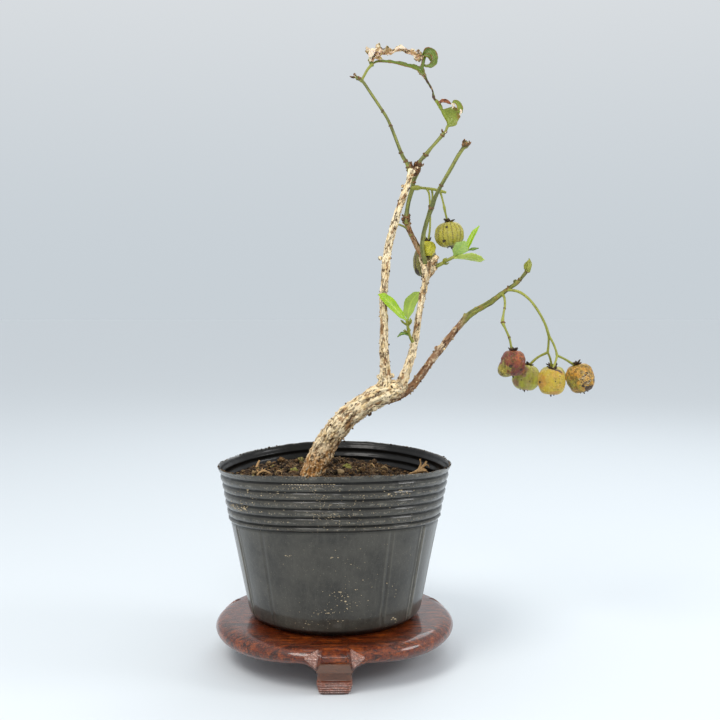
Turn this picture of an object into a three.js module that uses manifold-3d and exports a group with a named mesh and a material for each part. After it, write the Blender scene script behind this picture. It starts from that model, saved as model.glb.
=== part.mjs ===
// Spindle tree bonsai: a young tree with ribbed seed capsules, in a thin ridged pot on a carved stand.
// Millimetres, +Z up. Pieces are worked out about the stand's centre, with X to the right, Y away from
// the viewer and Z up from the surface, and the finished group is then moved so that the middle of the
// underside of its whole box is the origin.

import * as THREE from 'three';
import { mergeVertices } from 'three/addons/utils/BufferGeometryUtils.js';
import { ConvexGeometry } from 'three/addons/geometries/ConvexGeometry.js';
import Module from 'manifold-3d';

const wasm = await Module();
wasm.setup();

// Driving sizes
const GAP = 0.3; // air kept between pieces that touch on the real plant
const LEAF_THICK = 0.7;

// Stand
const STAND_R = 46.9; // radius of the round top
const STAND_TOP = 16.5; // height of the top face
const STAND_UNDER = 8.5; // height of the flat underside
const STAND_EDGE = 6; // how far in the rounded edge starts
const STAND_SEGMENTS = 60;
const APRON_DIP = 3.6; // how far the under-edge drops into a leg, in a hollow curve
const APRON_REACH = 8; // how far along the edge that curve takes
const APRON_RISE = 2.2; // how much thinner the edge is next to a leg than halfway between two legs
const APRON_RISE_SPREAD = 28; // the angle in degrees over which it thins
const LEG_ANGLES = [-88.8, 31.2, 151.2];
const LEG_IN = 37; // radius of a leg's inner face at the foot
const LEG_TOP_IN = 30; // radius of its inner face under the top
const LEG_HALF = 6.4; // half the width of a leg
// Height, outer radius and half width of a leg, from the foot up
const LEG_LEVELS = [
  [0, 44.6, 5.1],
  [0.7, 45.4, 5.7],
  [3.9, 45.8, 6.5],
  [4.8, 44.4, 6.3],
  [6.6, 43.9, 6.2],
  [8.2, 44.4, 6.5],
  [10.6, 47.2, 6.6],
  [12.4, 47.8, 6.4],
  [14.4, 47.3, 6.2],
  [15.9, 45.2, 5.9],
];

// Pot
const POT_BASE = STAND_TOP + GAP; // height of its underside
const POT_RIM = 59.2; // rim height above that, at the left and right
const POT_R0 = 33.4; // radius that the straight wall would have at its foot
const POT_TAPER = 0.196; // growth in radius for each millimetre of height
const POT_WALL = 1.0;
const POT_DRAIN = 7; // radius of the hole in the bottom
const POT_PANELS = 15; // flat panels of the lower wall
const POT_SEGMENTS = POT_PANELS * 3;
const POT_TURN = 1.75; // where the first crease lies, in segments from the right
const POT_CREASE = 0.35; // depth of the crease between two panels
const POT_GROOVES = [38.4, 40.3, 43.6, 46.9, 50.1, 53.2, 56.5]; // heights of the grooves between the ridges
const GROOVE_IN = 0.3;
const RIDGE_OUT = 0.6;
const RIM_LIFT = 2.45; // the thin rim stands this much higher at the front and back
const RIM_TILT = 0.4; // and this much higher on the right

// Soil
const SOIL_LEVEL = 69.8;
const SOIL_SEGMENTS = 38;
const SOIL_RINGS = 10;
const SOIL_CRUMB = 0.9; // height of the crumbs
const SOIL_CLEAR = 0.65; // air between the soil and the middle of the pot's inner wall

// Tree: each line is a list of [x, y, z, radius] along the middle of a stem, from its root outwards
const TRUNK_LINE = [
  [-12.4, 5.0, 58.3, 4.0],
  [-11.2, 4.5, 64.5, 4.3],
  [-9.6, 4.0, 69.6, 4.4],
  [-7.9, 3.5, 74.1, 4.4],
  [-5.9, 3.0, 78.2, 4.6],
  [-3.5, 2.5, 83.3, 4.5],
  [0.5, 2.0, 89.0, 4.4],
  [6.0, 1.5, 95.0, 4.35],
  [12.4, 1.0, 99.8, 4.25],
  [17.9, 0.6, 103.0, 4.4],
  [22.2, 0.5, 105.0, 4.0],
  [25.2, 0.5, 106.0, 3.0],
];
const LEFT_BRANCH = [
  [18.0, 0.2, 103.0, 3.2],
  [19.6, -0.2, 107.0, 3.0],
  [19.8, -0.5, 110.6, 2.25],
  [19.8, -0.8, 115.3, 1.9],
  [19.4, -1.2, 120.9, 1.75],
  [19.4, -2.0, 132.6, 1.6],
  [18.9, -2.6, 140.4, 1.55],
  [19.7, -3.2, 148.1, 1.55],
  [20.1, -3.8, 155.1, 1.55],
  [21.6, -4.4, 163.5, 1.45],
  [23.1, -4.8, 169.2, 1.55],
  [24.6, -5.2, 174.2, 1.3],
  [26.9, -5.6, 180.6, 1.2],
  [28.8, -5.9, 186.3, 1.1],
  [29.5, -6.0, 190.1, 1.2],
];
const MIDDLE_BRANCH = [
  [22.0, 0.3, 103.4, 3.0],
  [25.8, 0.5, 106.6, 2.5],
  [27.3, 0.6, 110.1, 2.0],
  [29.3, 0.8, 115.6, 1.7],
  [30.8, 1.0, 120.7, 1.6],
  [32.0, 1.0, 126.6, 1.5],
  [32.8, 1.0, 132.5, 1.4],
  [33.9, 0.8, 139.2, 1.35],
  [35.1, 0.5, 145.1, 1.3],
  [35.9, 0.3, 149.4, 1.7],
  [36.5, 0.0, 152.6, 2.5],
  [36.8, 0.0, 154.6, 2.2],
];
const MIDDLE_BRANCH_LEFT_ARM = [
  [36.2, 0.2, 151.0, 1.6],
  [35.1, 1.2, 154.8, 1.6],
  [34.3, 1.8, 157.2, 1.35],
];
const MIDDLE_BRANCH_RIGHT_ARM = [
  [36.6, 0.0, 150.2, 1.4],
  [38.4, 0.0, 152.6, 1.5],
  [39.8, -0.3, 153.7, 1.1],
];
const CUT_STUB = [
  [37.0, -0.5, 153.6, 1.4],
  [39.4, -1.5, 156.6, 1.25],
];
const RIGHT_BRANCH = [
  [21.0, 1.2, 101.8, 2.4],
  [25.4, 1.9, 103.0, 2.1],
  [30.6, 2.5, 106.4, 1.65],
  [33.8, 3.0, 110.3, 1.55],
  [37.7, 3.6, 115.8, 1.45],
  [41.7, 4.2, 120.6, 1.45],
  [45.7, 4.8, 125.7, 1.35],
  [49.7, 5.2, 130.5, 1.3],
  [52.9, 5.4, 134.0, 1.4],
  [55.6, 5.4, 136.0, 1.25],
  [60.7, 5.2, 138.8, 1.2],
  [65.4, 5.0, 142.3, 1.05],
  [68.6, 4.8, 144.7, 0.85],
  [72.0, 4.4, 147.1, 0.85],
  [74.0, 4.2, 149.4, 0.65],
  [75.6, 4.0, 151.4, 0.75],
];
// Knots and small dead buds on the wood: [x, y, z, radius]
const TRUNK_KNOTS = [
  [15.6, -1.4, 98.2, 1.4],
  [20.6, -1.9, 101.4, 1.3],
  [24.0, -1.2, 104.2, 1.3],
  [18.0, -1.4, 156.6, 0.9],
  [21.3, -3.8, 156.9, 0.8],
  [17.4, -0.6, 110.2, 1.0],
  [22.6, -0.4, 110.6, 0.9],
  [26.6, 0.2, 184.6, 0.8],
  [30.4, -6.0, 189.4, 0.9],
  [40.4, 4.3, 121.4, 0.9],
  [44.2, 4.4, 123.0, 0.8],
  [51.6, 5.4, 134.4, 0.8],
  [55.9, 5.2, 137.0, 0.8],
  [62.6, 5.2, 139.6, 0.8],
  [71.2, 4.4, 147.8, 0.7],
  [33.4, 0.2, 137.0, 0.8],
  [27.0, -0.6, 112.0, 0.9],
];
const TWIG_TOP_LEFT = [
  [29.3, -6.0, 189.2, 1.1],
  [28.0, -5.8, 192.7, 0.9],
  [26.5, -5.6, 195.0, 0.8],
  [24.6, -5.0, 199.7, 0.7],
  [20.8, -3.2, 209.4, 0.65],
  [17.7, -2.0, 214.6, 0.65],
  [13.9, -0.6, 220.5, 0.65],
  [11.2, 0.4, 224.6, 0.7],
  [9.8, 0.8, 225.8, 0.8],
  [8.1, 1.0, 226.8, 0.6],
];
const TWIG_TOP_RIGHT = [
  [34.7, 1.6, 156.2, 1.3],
  [33.9, 2.0, 158.4, 1.25],
  [32.4, 2.4, 161.5, 1.15],
  [30.4, 2.8, 165.4, 1.0],
  [29.0, 3.0, 168.6, 1.0],
  [28.2, 3.0, 172.1, 1.3],
  [28.4, 3.0, 174.8, 0.9],
  [29.2, 2.8, 179.5, 0.85],
  [30.3, 2.6, 183.3, 0.9],
  [31.1, 2.3, 187.2, 0.85],
  [32.1, 2.1, 189.9, 1.1],
  [32.8, 2.0, 193.0, 1.3],
  [33.6, 2.2, 194.7, 0.8],
  [35.4, 2.8, 196.7, 0.9],
  [38.2, 3.9, 200.2, 0.65],
  [41.0, 5.0, 203.4, 0.7],
  [42.8, 5.6, 205.5, 0.8],
];
const TWIG_TOP_RIGHT_SPUR = [
  [28.8, 2.8, 168.0, 0.5],
  [27.2, 2.2, 169.1, 0.4],
  [25.3, 1.5, 169.8, 0.4],
];
const TWIG_LONG = [
  [36.0, -1.6, 153.2, 1.1],
  [34.6, -3.2, 156.0, 1.0],
  [33.9, -4.2, 160.6, 0.9],
  [34.3, -5.0, 165.0, 0.85],
  [35.2, -5.5, 168.8, 0.85],
  [36.3, -6.0, 172.6, 0.85],
  [37.3, -6.3, 175.4, 1.0],
  [38.7, -6.8, 179.4, 0.8],
  [40.9, -7.3, 183.9, 0.75],
  [44.3, -8.0, 189.8, 0.75],
  [47.2, -8.6, 195.0, 0.75],
  [49.2, -9.0, 198.0, 0.8],
  [50.0, -9.2, 199.0, 1.3],
  [50.4, -9.3, 199.9, 1.1],
];

// Fruit stalks
const UPPER_STALK = [
  [30.2, 2.4, 184.1, 0.9],
  [32.5, 2.2, 184.2, 1.05],
  [33.8, 2.0, 184.1, 0.6],
  [36.6, 1.8, 183.8, 0.55],
  [39.7, 1.6, 183.3, 0.55],
  [41.6, 1.5, 182.8, 0.6],
  [43.4, 1.4, 182.3, 0.5],
];
const UPPER_STALK_FORKS = [
  [
    [36.2, 1.8, 183.6, 0.5],
    [36.9, 1.6, 182.1, 0.4],
    [37.3, 1.5, 178.6, 0.4],
    [37.4, 0.9, 173.1, 0.4],
    [37.2, 0.1, 167.7, 0.4],
    [36.6, -0.3, 163.2, 0.5],
  ],
  [
    [41.2, 1.5, 182.8, 0.5],
    [41.8, 1.3, 180.9, 0.4],
    [42.6, 1.1, 177.8, 0.4],
    [42.9, 1.0, 176.4, 0.55],
    [43.4, 1.0, 174.0, 0.4],
    [44.2, 1.0, 170.8, 0.5],
  ],
  [
    [38.1, 1.9, 183.5, 0.45],
    [38.4, 3.0, 180.7, 0.4],
    [37.7, 4.5, 176.5, 0.4],
    [36.5, 6.5, 171.2, 0.4],
    [35.8, 9.0, 166.5, 0.4],
    [36.0, 10.6, 162.0, 0.5],
  ],
];
const LEFT_STALK = [
  [66.2, 4.6, 142.9, 0.6],
  [66.9, 3.0, 141.2, 0.5],
  [67.0, 2.2, 138.0, 0.45],
  [66.4, 1.4, 134.9, 0.45],
  [66.0, 0.6, 131.7, 0.7],
  [67.0, -0.4, 129.0, 0.45],
  [68.3, -1.2, 125.9, 0.5],
  [68.9, -1.8, 123.1, 0.45],
  [69.2, -2.1, 120.6, 0.5],
];
const RIGHT_STALK = [
  [68.3, 4.4, 144.3, 0.6],
  [70.6, 2.8, 144.1, 0.55],
  [72.9, 2.2, 143.4, 0.55],
  [76.7, 1.4, 140.4, 0.5],
  [80.4, 1.0, 135.3, 0.5],
  [82.9, 0.8, 130.4, 0.5],
  [84.2, 0.8, 126.3, 0.6],
];
const RIGHT_STALK_FORKS = [
  [
    [84.2, 0.8, 126.6, 0.5],
    [84.3, 1.8, 123.1, 0.45],
    [84.2, 3.0, 119.5, 0.55],
  ],
  [
    [84.2, 3.0, 119.7, 0.5],
    [80.6, 4.8, 117.6, 0.45],
    [77.4, 6.2, 114.4, 0.5],
  ],
  [
    [84.2, 3.0, 119.7, 0.5],
    [85.8, 6.4, 117.2, 0.45],
    [87.1, 9.4, 113.6, 0.5],
  ],
  [
    [84.2, 0.8, 126.3, 0.5],
    [85.5, 0.0, 124.0, 0.45],
    [86.6, -0.6, 121.2, 0.45],
    [87.2, -1.0, 118.6, 0.55],
  ],
  [
    [87.2, -1.0, 118.7, 0.5],
    [90.4, -0.4, 117.2, 0.45],
    [94.0, 0.3, 115.0, 0.5],
  ],
  [
    [87.2, -1.0, 118.7, 0.5],
    [86.4, -3.0, 117.0, 0.45],
    [84.9, -5.0, 113.6, 0.5],
  ],
];

// Seed capsules: centre, greatest width, height, lean of the axis in x and y, lobes and turn in degrees.
// swelling is one lobe that stands out of the rest: its centre from the capsule's centre, and its radius.
const FRUITS = {
  fruit_red: {
    at: [69.8, -2.2, 115.8],
    wide: 10.3,
    tall: 10.9,
    turn: 10,
    swelling: [-2.9, 0.6, -2.4, 3.5],
    colour: 0x8f3a34,
  },
  fruit_green: {
    at: [76.4, 6.6, 109.5], wide: 11.1, tall: 11.1, lean: [0.14, 0], turn: 40, colour: 0x8f9a3c,
  },
  fruit_back: {
    at: [87.6, 10.4, 108.6], wide: 11.1, tall: 11.2, lean: [0, -0.05], turn: 0, colour: 0x8c8a3e,
  },
  fruit_front: {
    at: [84.3, -5.7, 108.8], wide: 11.4, tall: 11.0, lean: [0.06, 0], turn: 25, colour: 0xc49a35,
  },
  fruit_right: {
    at: [96.6, 0.8, 109.6], wide: 11.2, tall: 12.2, lean: [-0.28, 0], turn: 55, colour: 0xb07a3c,
  },
  fruit_upper: {
    at: [45.2, 1.0, 165.9], wide: 11.5, tall: 10.4, lean: [-0.12, 0], turn: 15, colour: 0x9a9440,
  },
  fruit_small: {
    at: [36.4, -0.4, 160.4], wide: 5.8, tall: 6.4, lobes: 4, turn: 0, colour: 0xb5b23a,
  },
  fruit_olive: { at: [36.2, 10.8, 155.6], wide: 10.2, tall: 13.0, turn: 30, colour: 0x6f7138 },
};
const FRUIT_RINGS = 6;
const FRUIT_GROOVE = 0.1; // depth of the furrow between two lobes, as a share of the radius

// Bud at the end of the right branch
const BUD_FOOT = [75.7, 4.0, 151.2];
const BUD_TIP = [77.3, 3.6, 157.3];
const BUD_R = 1.75;

// Green shoots and their leaves
const MIDDLE_SHOOT = [
  [31.2, 0.6, 123.4, 0.9],
  [29.9, -0.9, 125.3, 0.75],
  [28.9, -2.4, 128.3, 0.7],
  [28.5, -3.0, 131.1, 0.75],
  [28.3, -3.2, 132.4, 0.75],
];
const UPPER_SHOOT = [
  [38.9, -0.2, 153.4, 0.9],
  [41.2, -0.8, 154.2, 0.75],
  [43.4, -1.6, 155.5, 0.65],
  [46.1, -2.4, 156.9, 0.6],
  [48.8, -2.2, 158.2, 0.5],
  [52.0, -1.8, 160.0, 0.55],
];
const LEAF_PETIOLE_TOP = [
  [10.4, 0.5, 224.8, 0.6],
  [11.5, 0.9, 226.9, 0.5],
  [13.1, 1.6, 229.8, 0.55],
  [14.9, 2.2, 231.8, 0.6],
];
const LEAF_THREAD = [
  [35.8, 5.4, 226.8, 0.45],
  [37.4, 6.0, 224.3, 0.4],
  [38.7, 6.4, 222.7, 0.4],
  [39.2, 6.9, 220.9, 0.4],
];
const CUP_PETIOLE = [
  [42.6, 5.5, 205.2, 0.6],
  [43.8, 6.2, 206.9, 0.5],
  [44.4, 6.6, 208.6, 0.6],
];

// Repeatable random numbers from 0 to 1
function randomFrom(seed) {
  let state = seed * 7919 + 17;
  return () => {
    state = (state * 1664525 + 1013904223) % 4294967296;
    return state / 4294967296;
  };
}

// A closed geometry from a list of points and a list of triangles
function closed(points, faces) {
  const geometry = new THREE.BufferGeometry();
  geometry.setAttribute('position', new THREE.Float32BufferAttribute(points.flat(), 3));
  geometry.setIndex(faces.flat());
  return geometry;
}

// A closed geometry as a solid that can be joined and cut
function asSolid(geometry) {
  const bare = geometry.clone();
  bare.deleteAttribute('normal');
  bare.deleteAttribute('uv');
  const merged = mergeVertices(bare, 1e-4);
  return new wasm.Manifold(
    new wasm.Mesh({
      numProp: 3,
      vertProperties: new Float32Array(merged.attributes.position.array),
      triVerts: new Uint32Array(merged.index.array),
    }),
  );
}

// A solid back as a geometry, without loose scraps
function asGeometry(solid) {
  const whole = solid.decompose().sort((a, b) => b.volume() - a.volume())[0];
  const mesh = whole.getMesh();
  const geometry = new THREE.BufferGeometry();
  geometry.setAttribute('position', new THREE.BufferAttribute(new Float32Array(mesh.vertProperties), 3));
  geometry.setIndex(new THREE.BufferAttribute(new Uint32Array(mesh.triVerts), 1));
  return geometry;
}

const fuse = (geometries) => geometries.map(asSolid).reduce((a, b) => a.add(b));

// What carries a piece, grown by the gap, is cut out of its end, so that it sits on it all round
const seat = (solid, carriers) => carriers.reduce((a, b) => a.subtract(asSolid(b)), solid);

// Faces between rings of equal size, with both ends closed by fans about a middle point
function ringFaces(rings, size, first, last) {
  const faces = [];
  for (let i = 0; i < rings - 1; i += 1) {
    for (let k = 0; k < size; k += 1) {
      const next = (k + 1) % size;
      const a = i * size + k;
      const b = i * size + next;
      faces.push([a, b, b + size], [a, b + size, a + size]);
    }
  }
  for (let k = 0; k < size; k += 1) {
    const next = (k + 1) % size;
    faces.push([first, next, k], [last, (rings - 1) * size + k, (rings - 1) * size + next]);
  }
  return faces;
}

// A round stem along a smooth curve through [x, y, z, radius] rows. grow widens it all round, and rough
// moves each point of a ring in or out by up to that share of the radius, as bark does.
function stem(line, { sides = 8, steps = 2, grow = 0, rough = 0, seed = 1 } = {}) {
  const curve = new THREE.CatmullRomCurve3(line.map(([x, y, z]) => new THREE.Vector3(x, y, z)));
  const count = (line.length - 1) * steps;
  const random = randomFrom(seed);
  const points = [];
  let across = new THREE.Vector3(0.3, -1, 0.2);
  for (let i = 0; i <= count; i += 1) {
    const u = i / count;
    const centre = curve.getPoint(u);
    const along = curve.getTangent(u);
    across = across.clone().addScaledVector(along, -across.dot(along)).normalize();
    const other = new THREE.Vector3().crossVectors(along, across);
    const row = Math.min(Math.floor(i / steps), line.length - 2);
    const share = i / steps - row;
    const radius = line[row][3] * (1 - share) + line[row + 1][3] * share;
    for (let k = 0; k < sides; k += 1) {
      const turn = (2 * Math.PI * k) / sides;
      const reach = radius * (1 + rough * (2 * random() - 1)) + grow;
      const point = centre.clone();
      point.addScaledVector(across, reach * Math.cos(turn)).addScaledVector(other, reach * Math.sin(turn));
      points.push(point.toArray());
    }
  }
  const roundEnd = 0.5;
  const first = curve.getPoint(0).addScaledVector(curve.getTangent(0), -(line[0][3] * roundEnd + grow));
  const last = curve.getPoint(1).addScaledVector(curve.getTangent(1), line.at(-1)[3] * roundEnd + grow);
  points.push(first.toArray(), last.toArray());
  const rings = count + 1;
  return closed(points, ringFaces(rings, sides, rings * sides, rings * sides + 1));
}

// A small faceted lump
function lump([x, y, z, radius], { detail = 0, squash = 1, grow = 0 } = {}) {
  const geometry = new THREE.IcosahedronGeometry(radius + grow, detail);
  geometry.scale(1, 1, squash);
  geometry.translate(x, y, z);
  return geometry;
}

// A value read smoothly from a short list, at a share from 0 to 1 of its length
function readList(list, share) {
  const at = share * (list.length - 1);
  const row = Math.min(Math.floor(at), list.length - 2);
  const part = at - row;
  const soft = part * part * (3 - 2 * part);
  return list[row] * (1 - soft) + list[row + 1] * soft;
}

// A leaf blade along its midrib. left and right are half widths along it, face is the way the upper side
// looks, roll turns it about the midrib, bend is the angle through which each half curves up towards its
// edge, and teeth is how far the edge is notched, as a share of the half width. Both faces are split into
// the same triangles, so that they never cross.
function blade(spec) {
  const { line, left, right, face, roll = [0, 0], bend = [0, 0], teeth = 0 } = spec;
  const { steps = 8, across = 4, thick = LEAF_THICK, grow = 0 } = spec;
  const curve = new THREE.CatmullRomCurve3(line.map((row) => new THREE.Vector3(...row)));
  const upper = [];
  const lower = [];
  let up = new THREE.Vector3(...face).normalize();
  for (let i = 0; i <= steps; i += 1) {
    const u = i / steps;
    const centre = curve.getPoint(u);
    const along = curve.getTangent(u);
    up = up.clone().addScaledVector(along, -up.dot(along)).normalize();
    const normal = up.clone().applyAxisAngle(along, THREE.MathUtils.degToRad(readList(roll, u)));
    const side = new THREE.Vector3().crossVectors(along, normal);
    const angle = THREE.MathUtils.degToRad(readList(bend, u)) + 1e-4;
    const notch = i > 0 && i < steps && i % 2 === 1 ? 1 - teeth : 1;
    for (let k = 0; k <= across; k += 1) {
      const s = (2 * k) / across - 1;
      const half = readList(s < 0 ? left : right, u) * (Math.abs(s) > 0.99 ? notch : 1) + grow;
      const turn = angle * Math.abs(s);
      const out = (half / angle) * Math.sin(turn) * Math.sign(s);
      const rise = (half / angle) * (1 - Math.cos(turn));
      const local = normal.clone().multiplyScalar(Math.cos(turn));
      local.addScaledVector(side, -Math.sin(turn) * Math.sign(s));
      const middle = centre.clone().addScaledVector(side, out).addScaledVector(normal, rise);
      upper.push(middle.clone().addScaledVector(local, thick / 2 + grow).toArray());
      lower.push(middle.clone().addScaledVector(local, -thick / 2 - grow).toArray());
    }
  }
  const width = across + 1;
  const shift = upper.length;
  const faces = [];
  const wall = (a, b) => faces.push([a, b, b + shift], [a, b + shift, a + shift]);
  for (let i = 0; i < steps; i += 1) {
    for (let k = 0; k < across; k += 1) {
      const a = i * width + k;
      const b = a + 1;
      const c = a + width;
      const d = c + 1;
      faces.push([a, b, d], [a, d, c]);
      faces.push([a + shift, d + shift, b + shift], [a + shift, c + shift, d + shift]);
    }
    wall(i * width, (i + 1) * width);
    wall((i + 1) * width + across, i * width + across);
  }
  for (let k = 0; k < across; k += 1) {
    wall(k + 1, k);
    wall(steps * width + k, steps * width + k + 1);
  }
  const geometry = closed([...upper, ...lower], faces);
  return flipIfInside(geometry);
}

// Turns a closed geometry's faces over if they point inwards
function flipIfInside(geometry) {
  const at = geometry.attributes.position;
  const index = geometry.index.array;
  const corner = [new THREE.Vector3(), new THREE.Vector3(), new THREE.Vector3()];
  let volume = 0;
  for (let i = 0; i < index.length; i += 3) {
    corner.forEach((point, k) => point.fromBufferAttribute(at, index[i + k]));
    volume += corner[0].dot(corner[1].clone().cross(corner[2]));
  }
  if (volume < 0) {
    for (let i = 0; i < index.length; i += 3) {
      [index[i + 1], index[i + 2]] = [index[i + 2], index[i + 1]];
    }
  }
  return geometry;
}

// The stand's round top, whose edge hangs lower beside each leg, as one closed grid of rings
function standTop() {
  const middle = (STAND_TOP + STAND_UNDER) / 2;
  const half = (STAND_TOP - STAND_UNDER) / 2;
  const profile = [];
  const edgeSteps = 6;
  for (let i = 0; i <= edgeSteps; i += 1) {
    const turn = -Math.PI / 2 + (Math.PI * i) / edgeSteps;
    const out = Math.cos(turn) ** 0.9;
    profile.push([STAND_R - STAND_EDGE + STAND_EDGE * out, middle + half * Math.sin(turn)]);
  }
  profile.unshift([STAND_R - 2 * STAND_EDGE, STAND_UNDER]);
  profile.push([STAND_R - 2 * STAND_EDGE, STAND_TOP]);
  const points = [];
  for (const [radius, height] of profile) {
    for (let k = 0; k < STAND_SEGMENTS; k += 1) {
      const degrees = (360 * k) / STAND_SEGMENTS;
      const turn = THREE.MathUtils.degToRad(degrees);
      const low = THREE.MathUtils.smoothstep(STAND_TOP - height, 2, STAND_TOP - STAND_UNDER);
      const outer = THREE.MathUtils.smoothstep(radius, STAND_R - 2 * STAND_EDGE, STAND_R - STAND_EDGE);
      const dip = apronDip(degrees) * low * outer;
      points.push([radius * Math.cos(turn), radius * Math.sin(turn), height - dip]);
    }
  }
  points.push([0, 0, STAND_UNDER], [0, 0, STAND_TOP]);
  const rings = profile.length;
  const hub = rings * STAND_SEGMENTS;
  return closed(points, ringFaces(rings, STAND_SEGMENTS, hub, hub + 1));
}

// How far the under-edge hangs down at an angle: it rises gently towards a leg and then drops into it
function apronDip(degrees) {
  const fromLeg = (leg) => Math.abs(THREE.MathUtils.euclideanModulo(degrees - leg + 180, 360) - 180);
  const away = Math.min(...LEG_ANGLES.map(fromLeg));
  const arc = THREE.MathUtils.degToRad(away) * STAND_R;
  const beside = Math.max(arc - LEG_HALF, 0);
  const share = 1 - Math.min(beside / APRON_REACH, 1);
  return APRON_DIP * share ** 2.2 - APRON_RISE * Math.exp(-((away / APRON_RISE_SPREAD) ** 2));
}

// A leg standing at angle 0, as a stack of rectangles
function legBlock() {
  const points = [];
  LEG_LEVELS.forEach(([height, out, half]) => {
    const inner = height < STAND_UNDER - 3 ? LEG_IN : LEG_TOP_IN;
    points.push([inner, -half, height], [out, -half, height], [out, half, height], [inner, half, height]);
  });
  const rings = LEG_LEVELS.length;
  const [top, topOut] = LEG_LEVELS.at(-1);
  points.push([(LEG_IN + LEG_LEVELS[0][1]) / 2, 0, 0], [(LEG_TOP_IN + topOut) / 2, 0, top]);
  return closed(points, ringFaces(rings, 4, rings * 4, rings * 4 + 1));
}

// The cut facet that joins one side of a leg's knee to the edge of the top
function kneeFacet(side) {
  const corners = [
    [44.6, 5.4, 16.2],
    [47.4, 5.6, 14.8],
    [47.2, 6.4, 9.9],
    [45.9, 10.8, 13.6],
    [43.5, 10.5, 13.2],
    [42.0, 8.0, 10.4],
    [42.0, 5.0, 16.0],
    [40.0, 5.0, 9.4],
  ];
  return new ConvexGeometry(corners.map(([x, y, z]) => new THREE.Vector3(x, y * side, z)));
}

function standGeometry() {
  const parts = [standTop()];
  for (const degrees of LEG_ANGLES) {
    for (const piece of [legBlock(), kneeFacet(1), kneeFacet(-1)]) {
      piece.rotateZ(THREE.MathUtils.degToRad(degrees));
      parts.push(piece);
    }
  }
  return asGeometry(fuse(parts));
}

// Radius of the middle of the pot's outer face at a height above its foot
const potRadius = (height) => POT_R0 + POT_TAPER * height;

// How far the thin pot's wall is pulled up at an angle, from nothing at its foot to all of it at the ridges
function potLift(height, turn) {
  const share = THREE.MathUtils.smoothstep(height, 0, POT_GROOVES[0]);
  return share * (RIM_LIFT * Math.sin(turn) ** 2 + RIM_TILT * Math.cos(turn));
}

// Rows of [radius, height, crease] round the pot's wall, out and up, over the rim, and down inside
function potProfile() {
  const rows = [
    [POT_DRAIN, 0, 0],
    [31.2, 0, 0],
    [32.8, 0.7, 0],
    [33.7, 2.4, 0.4],
  ];
  for (const height of [5, 36.5]) {
    rows.push([potRadius(height), height, 1]);
  }
  const tops = [...POT_GROOVES, POT_RIM];
  POT_GROOVES.forEach((groove, i) => {
    const above = tops[i + 1] - groove;
    rows.push([potRadius(groove) - GROOVE_IN, groove, 0]);
    if (i < POT_GROOVES.length - 1) {
      rows.push([potRadius(groove + above * 0.28) + RIDGE_OUT, groove + above * 0.28, 0]);
      rows.push([potRadius(groove + above * 0.76) + RIDGE_OUT, groove + above * 0.76, 0]);
    }
  });
  rows.push([potRadius(57.4) + RIDGE_OUT * 0.7, 57.4, 0], [potRadius(POT_RIM) + 0.3, 58.7, 0]);
  rows.push([potRadius(POT_RIM) - 0.2, POT_RIM, 0], [potRadius(POT_RIM) - 0.8, 58.8, 0]);
  for (const height of [POT_GROOVES.at(-1), POT_GROOVES.at(-2), 4]) {
    rows.push([potRadius(height) - POT_WALL, height, 0]);
  }
  rows.push([31.6, POT_WALL, 0], [POT_DRAIN, POT_WALL, 0]);
  return rows;
}

// The pot: its profile carried round, pulled up at the front and back, with a crease between panels
function potGeometry() {
  const rows = potProfile();
  const points = [];
  for (const [radius, height, crease] of rows) {
    for (let k = 0; k < POT_SEGMENTS; k += 1) {
      const turn = (2 * Math.PI * (k + POT_TURN)) / POT_SEGMENTS;
      const reach = radius - (k % 3 === 0 ? POT_CREASE * crease : 0);
      const z = POT_BASE + height + potLift(height, turn);
      points.push([reach * Math.cos(turn), reach * Math.sin(turn), z]);
    }
  }
  const faces = [];
  for (let i = 0; i < rows.length; i += 1) {
    for (let k = 0; k < POT_SEGMENTS; k += 1) {
      const next = (k + 1) % POT_SEGMENTS;
      const above = ((i + 1) % rows.length) * POT_SEGMENTS;
      const here = i * POT_SEGMENTS;
      faces.push([here + k, here + next, above + next], [here + k, above + next, above + k]);
    }
  }
  return closed(points, faces);
}

// Height of the soil: level on the left, rising a little to the back and falling away to the right
function soilHeight(x, y) {
  const mound = Math.exp(-((x + 14) ** 2 + (y - 10) ** 2) / 320);
  return SOIL_LEVEL + 0.05 * y - 0.12 * Math.max(x - 4, 0) + mound;
}

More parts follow.
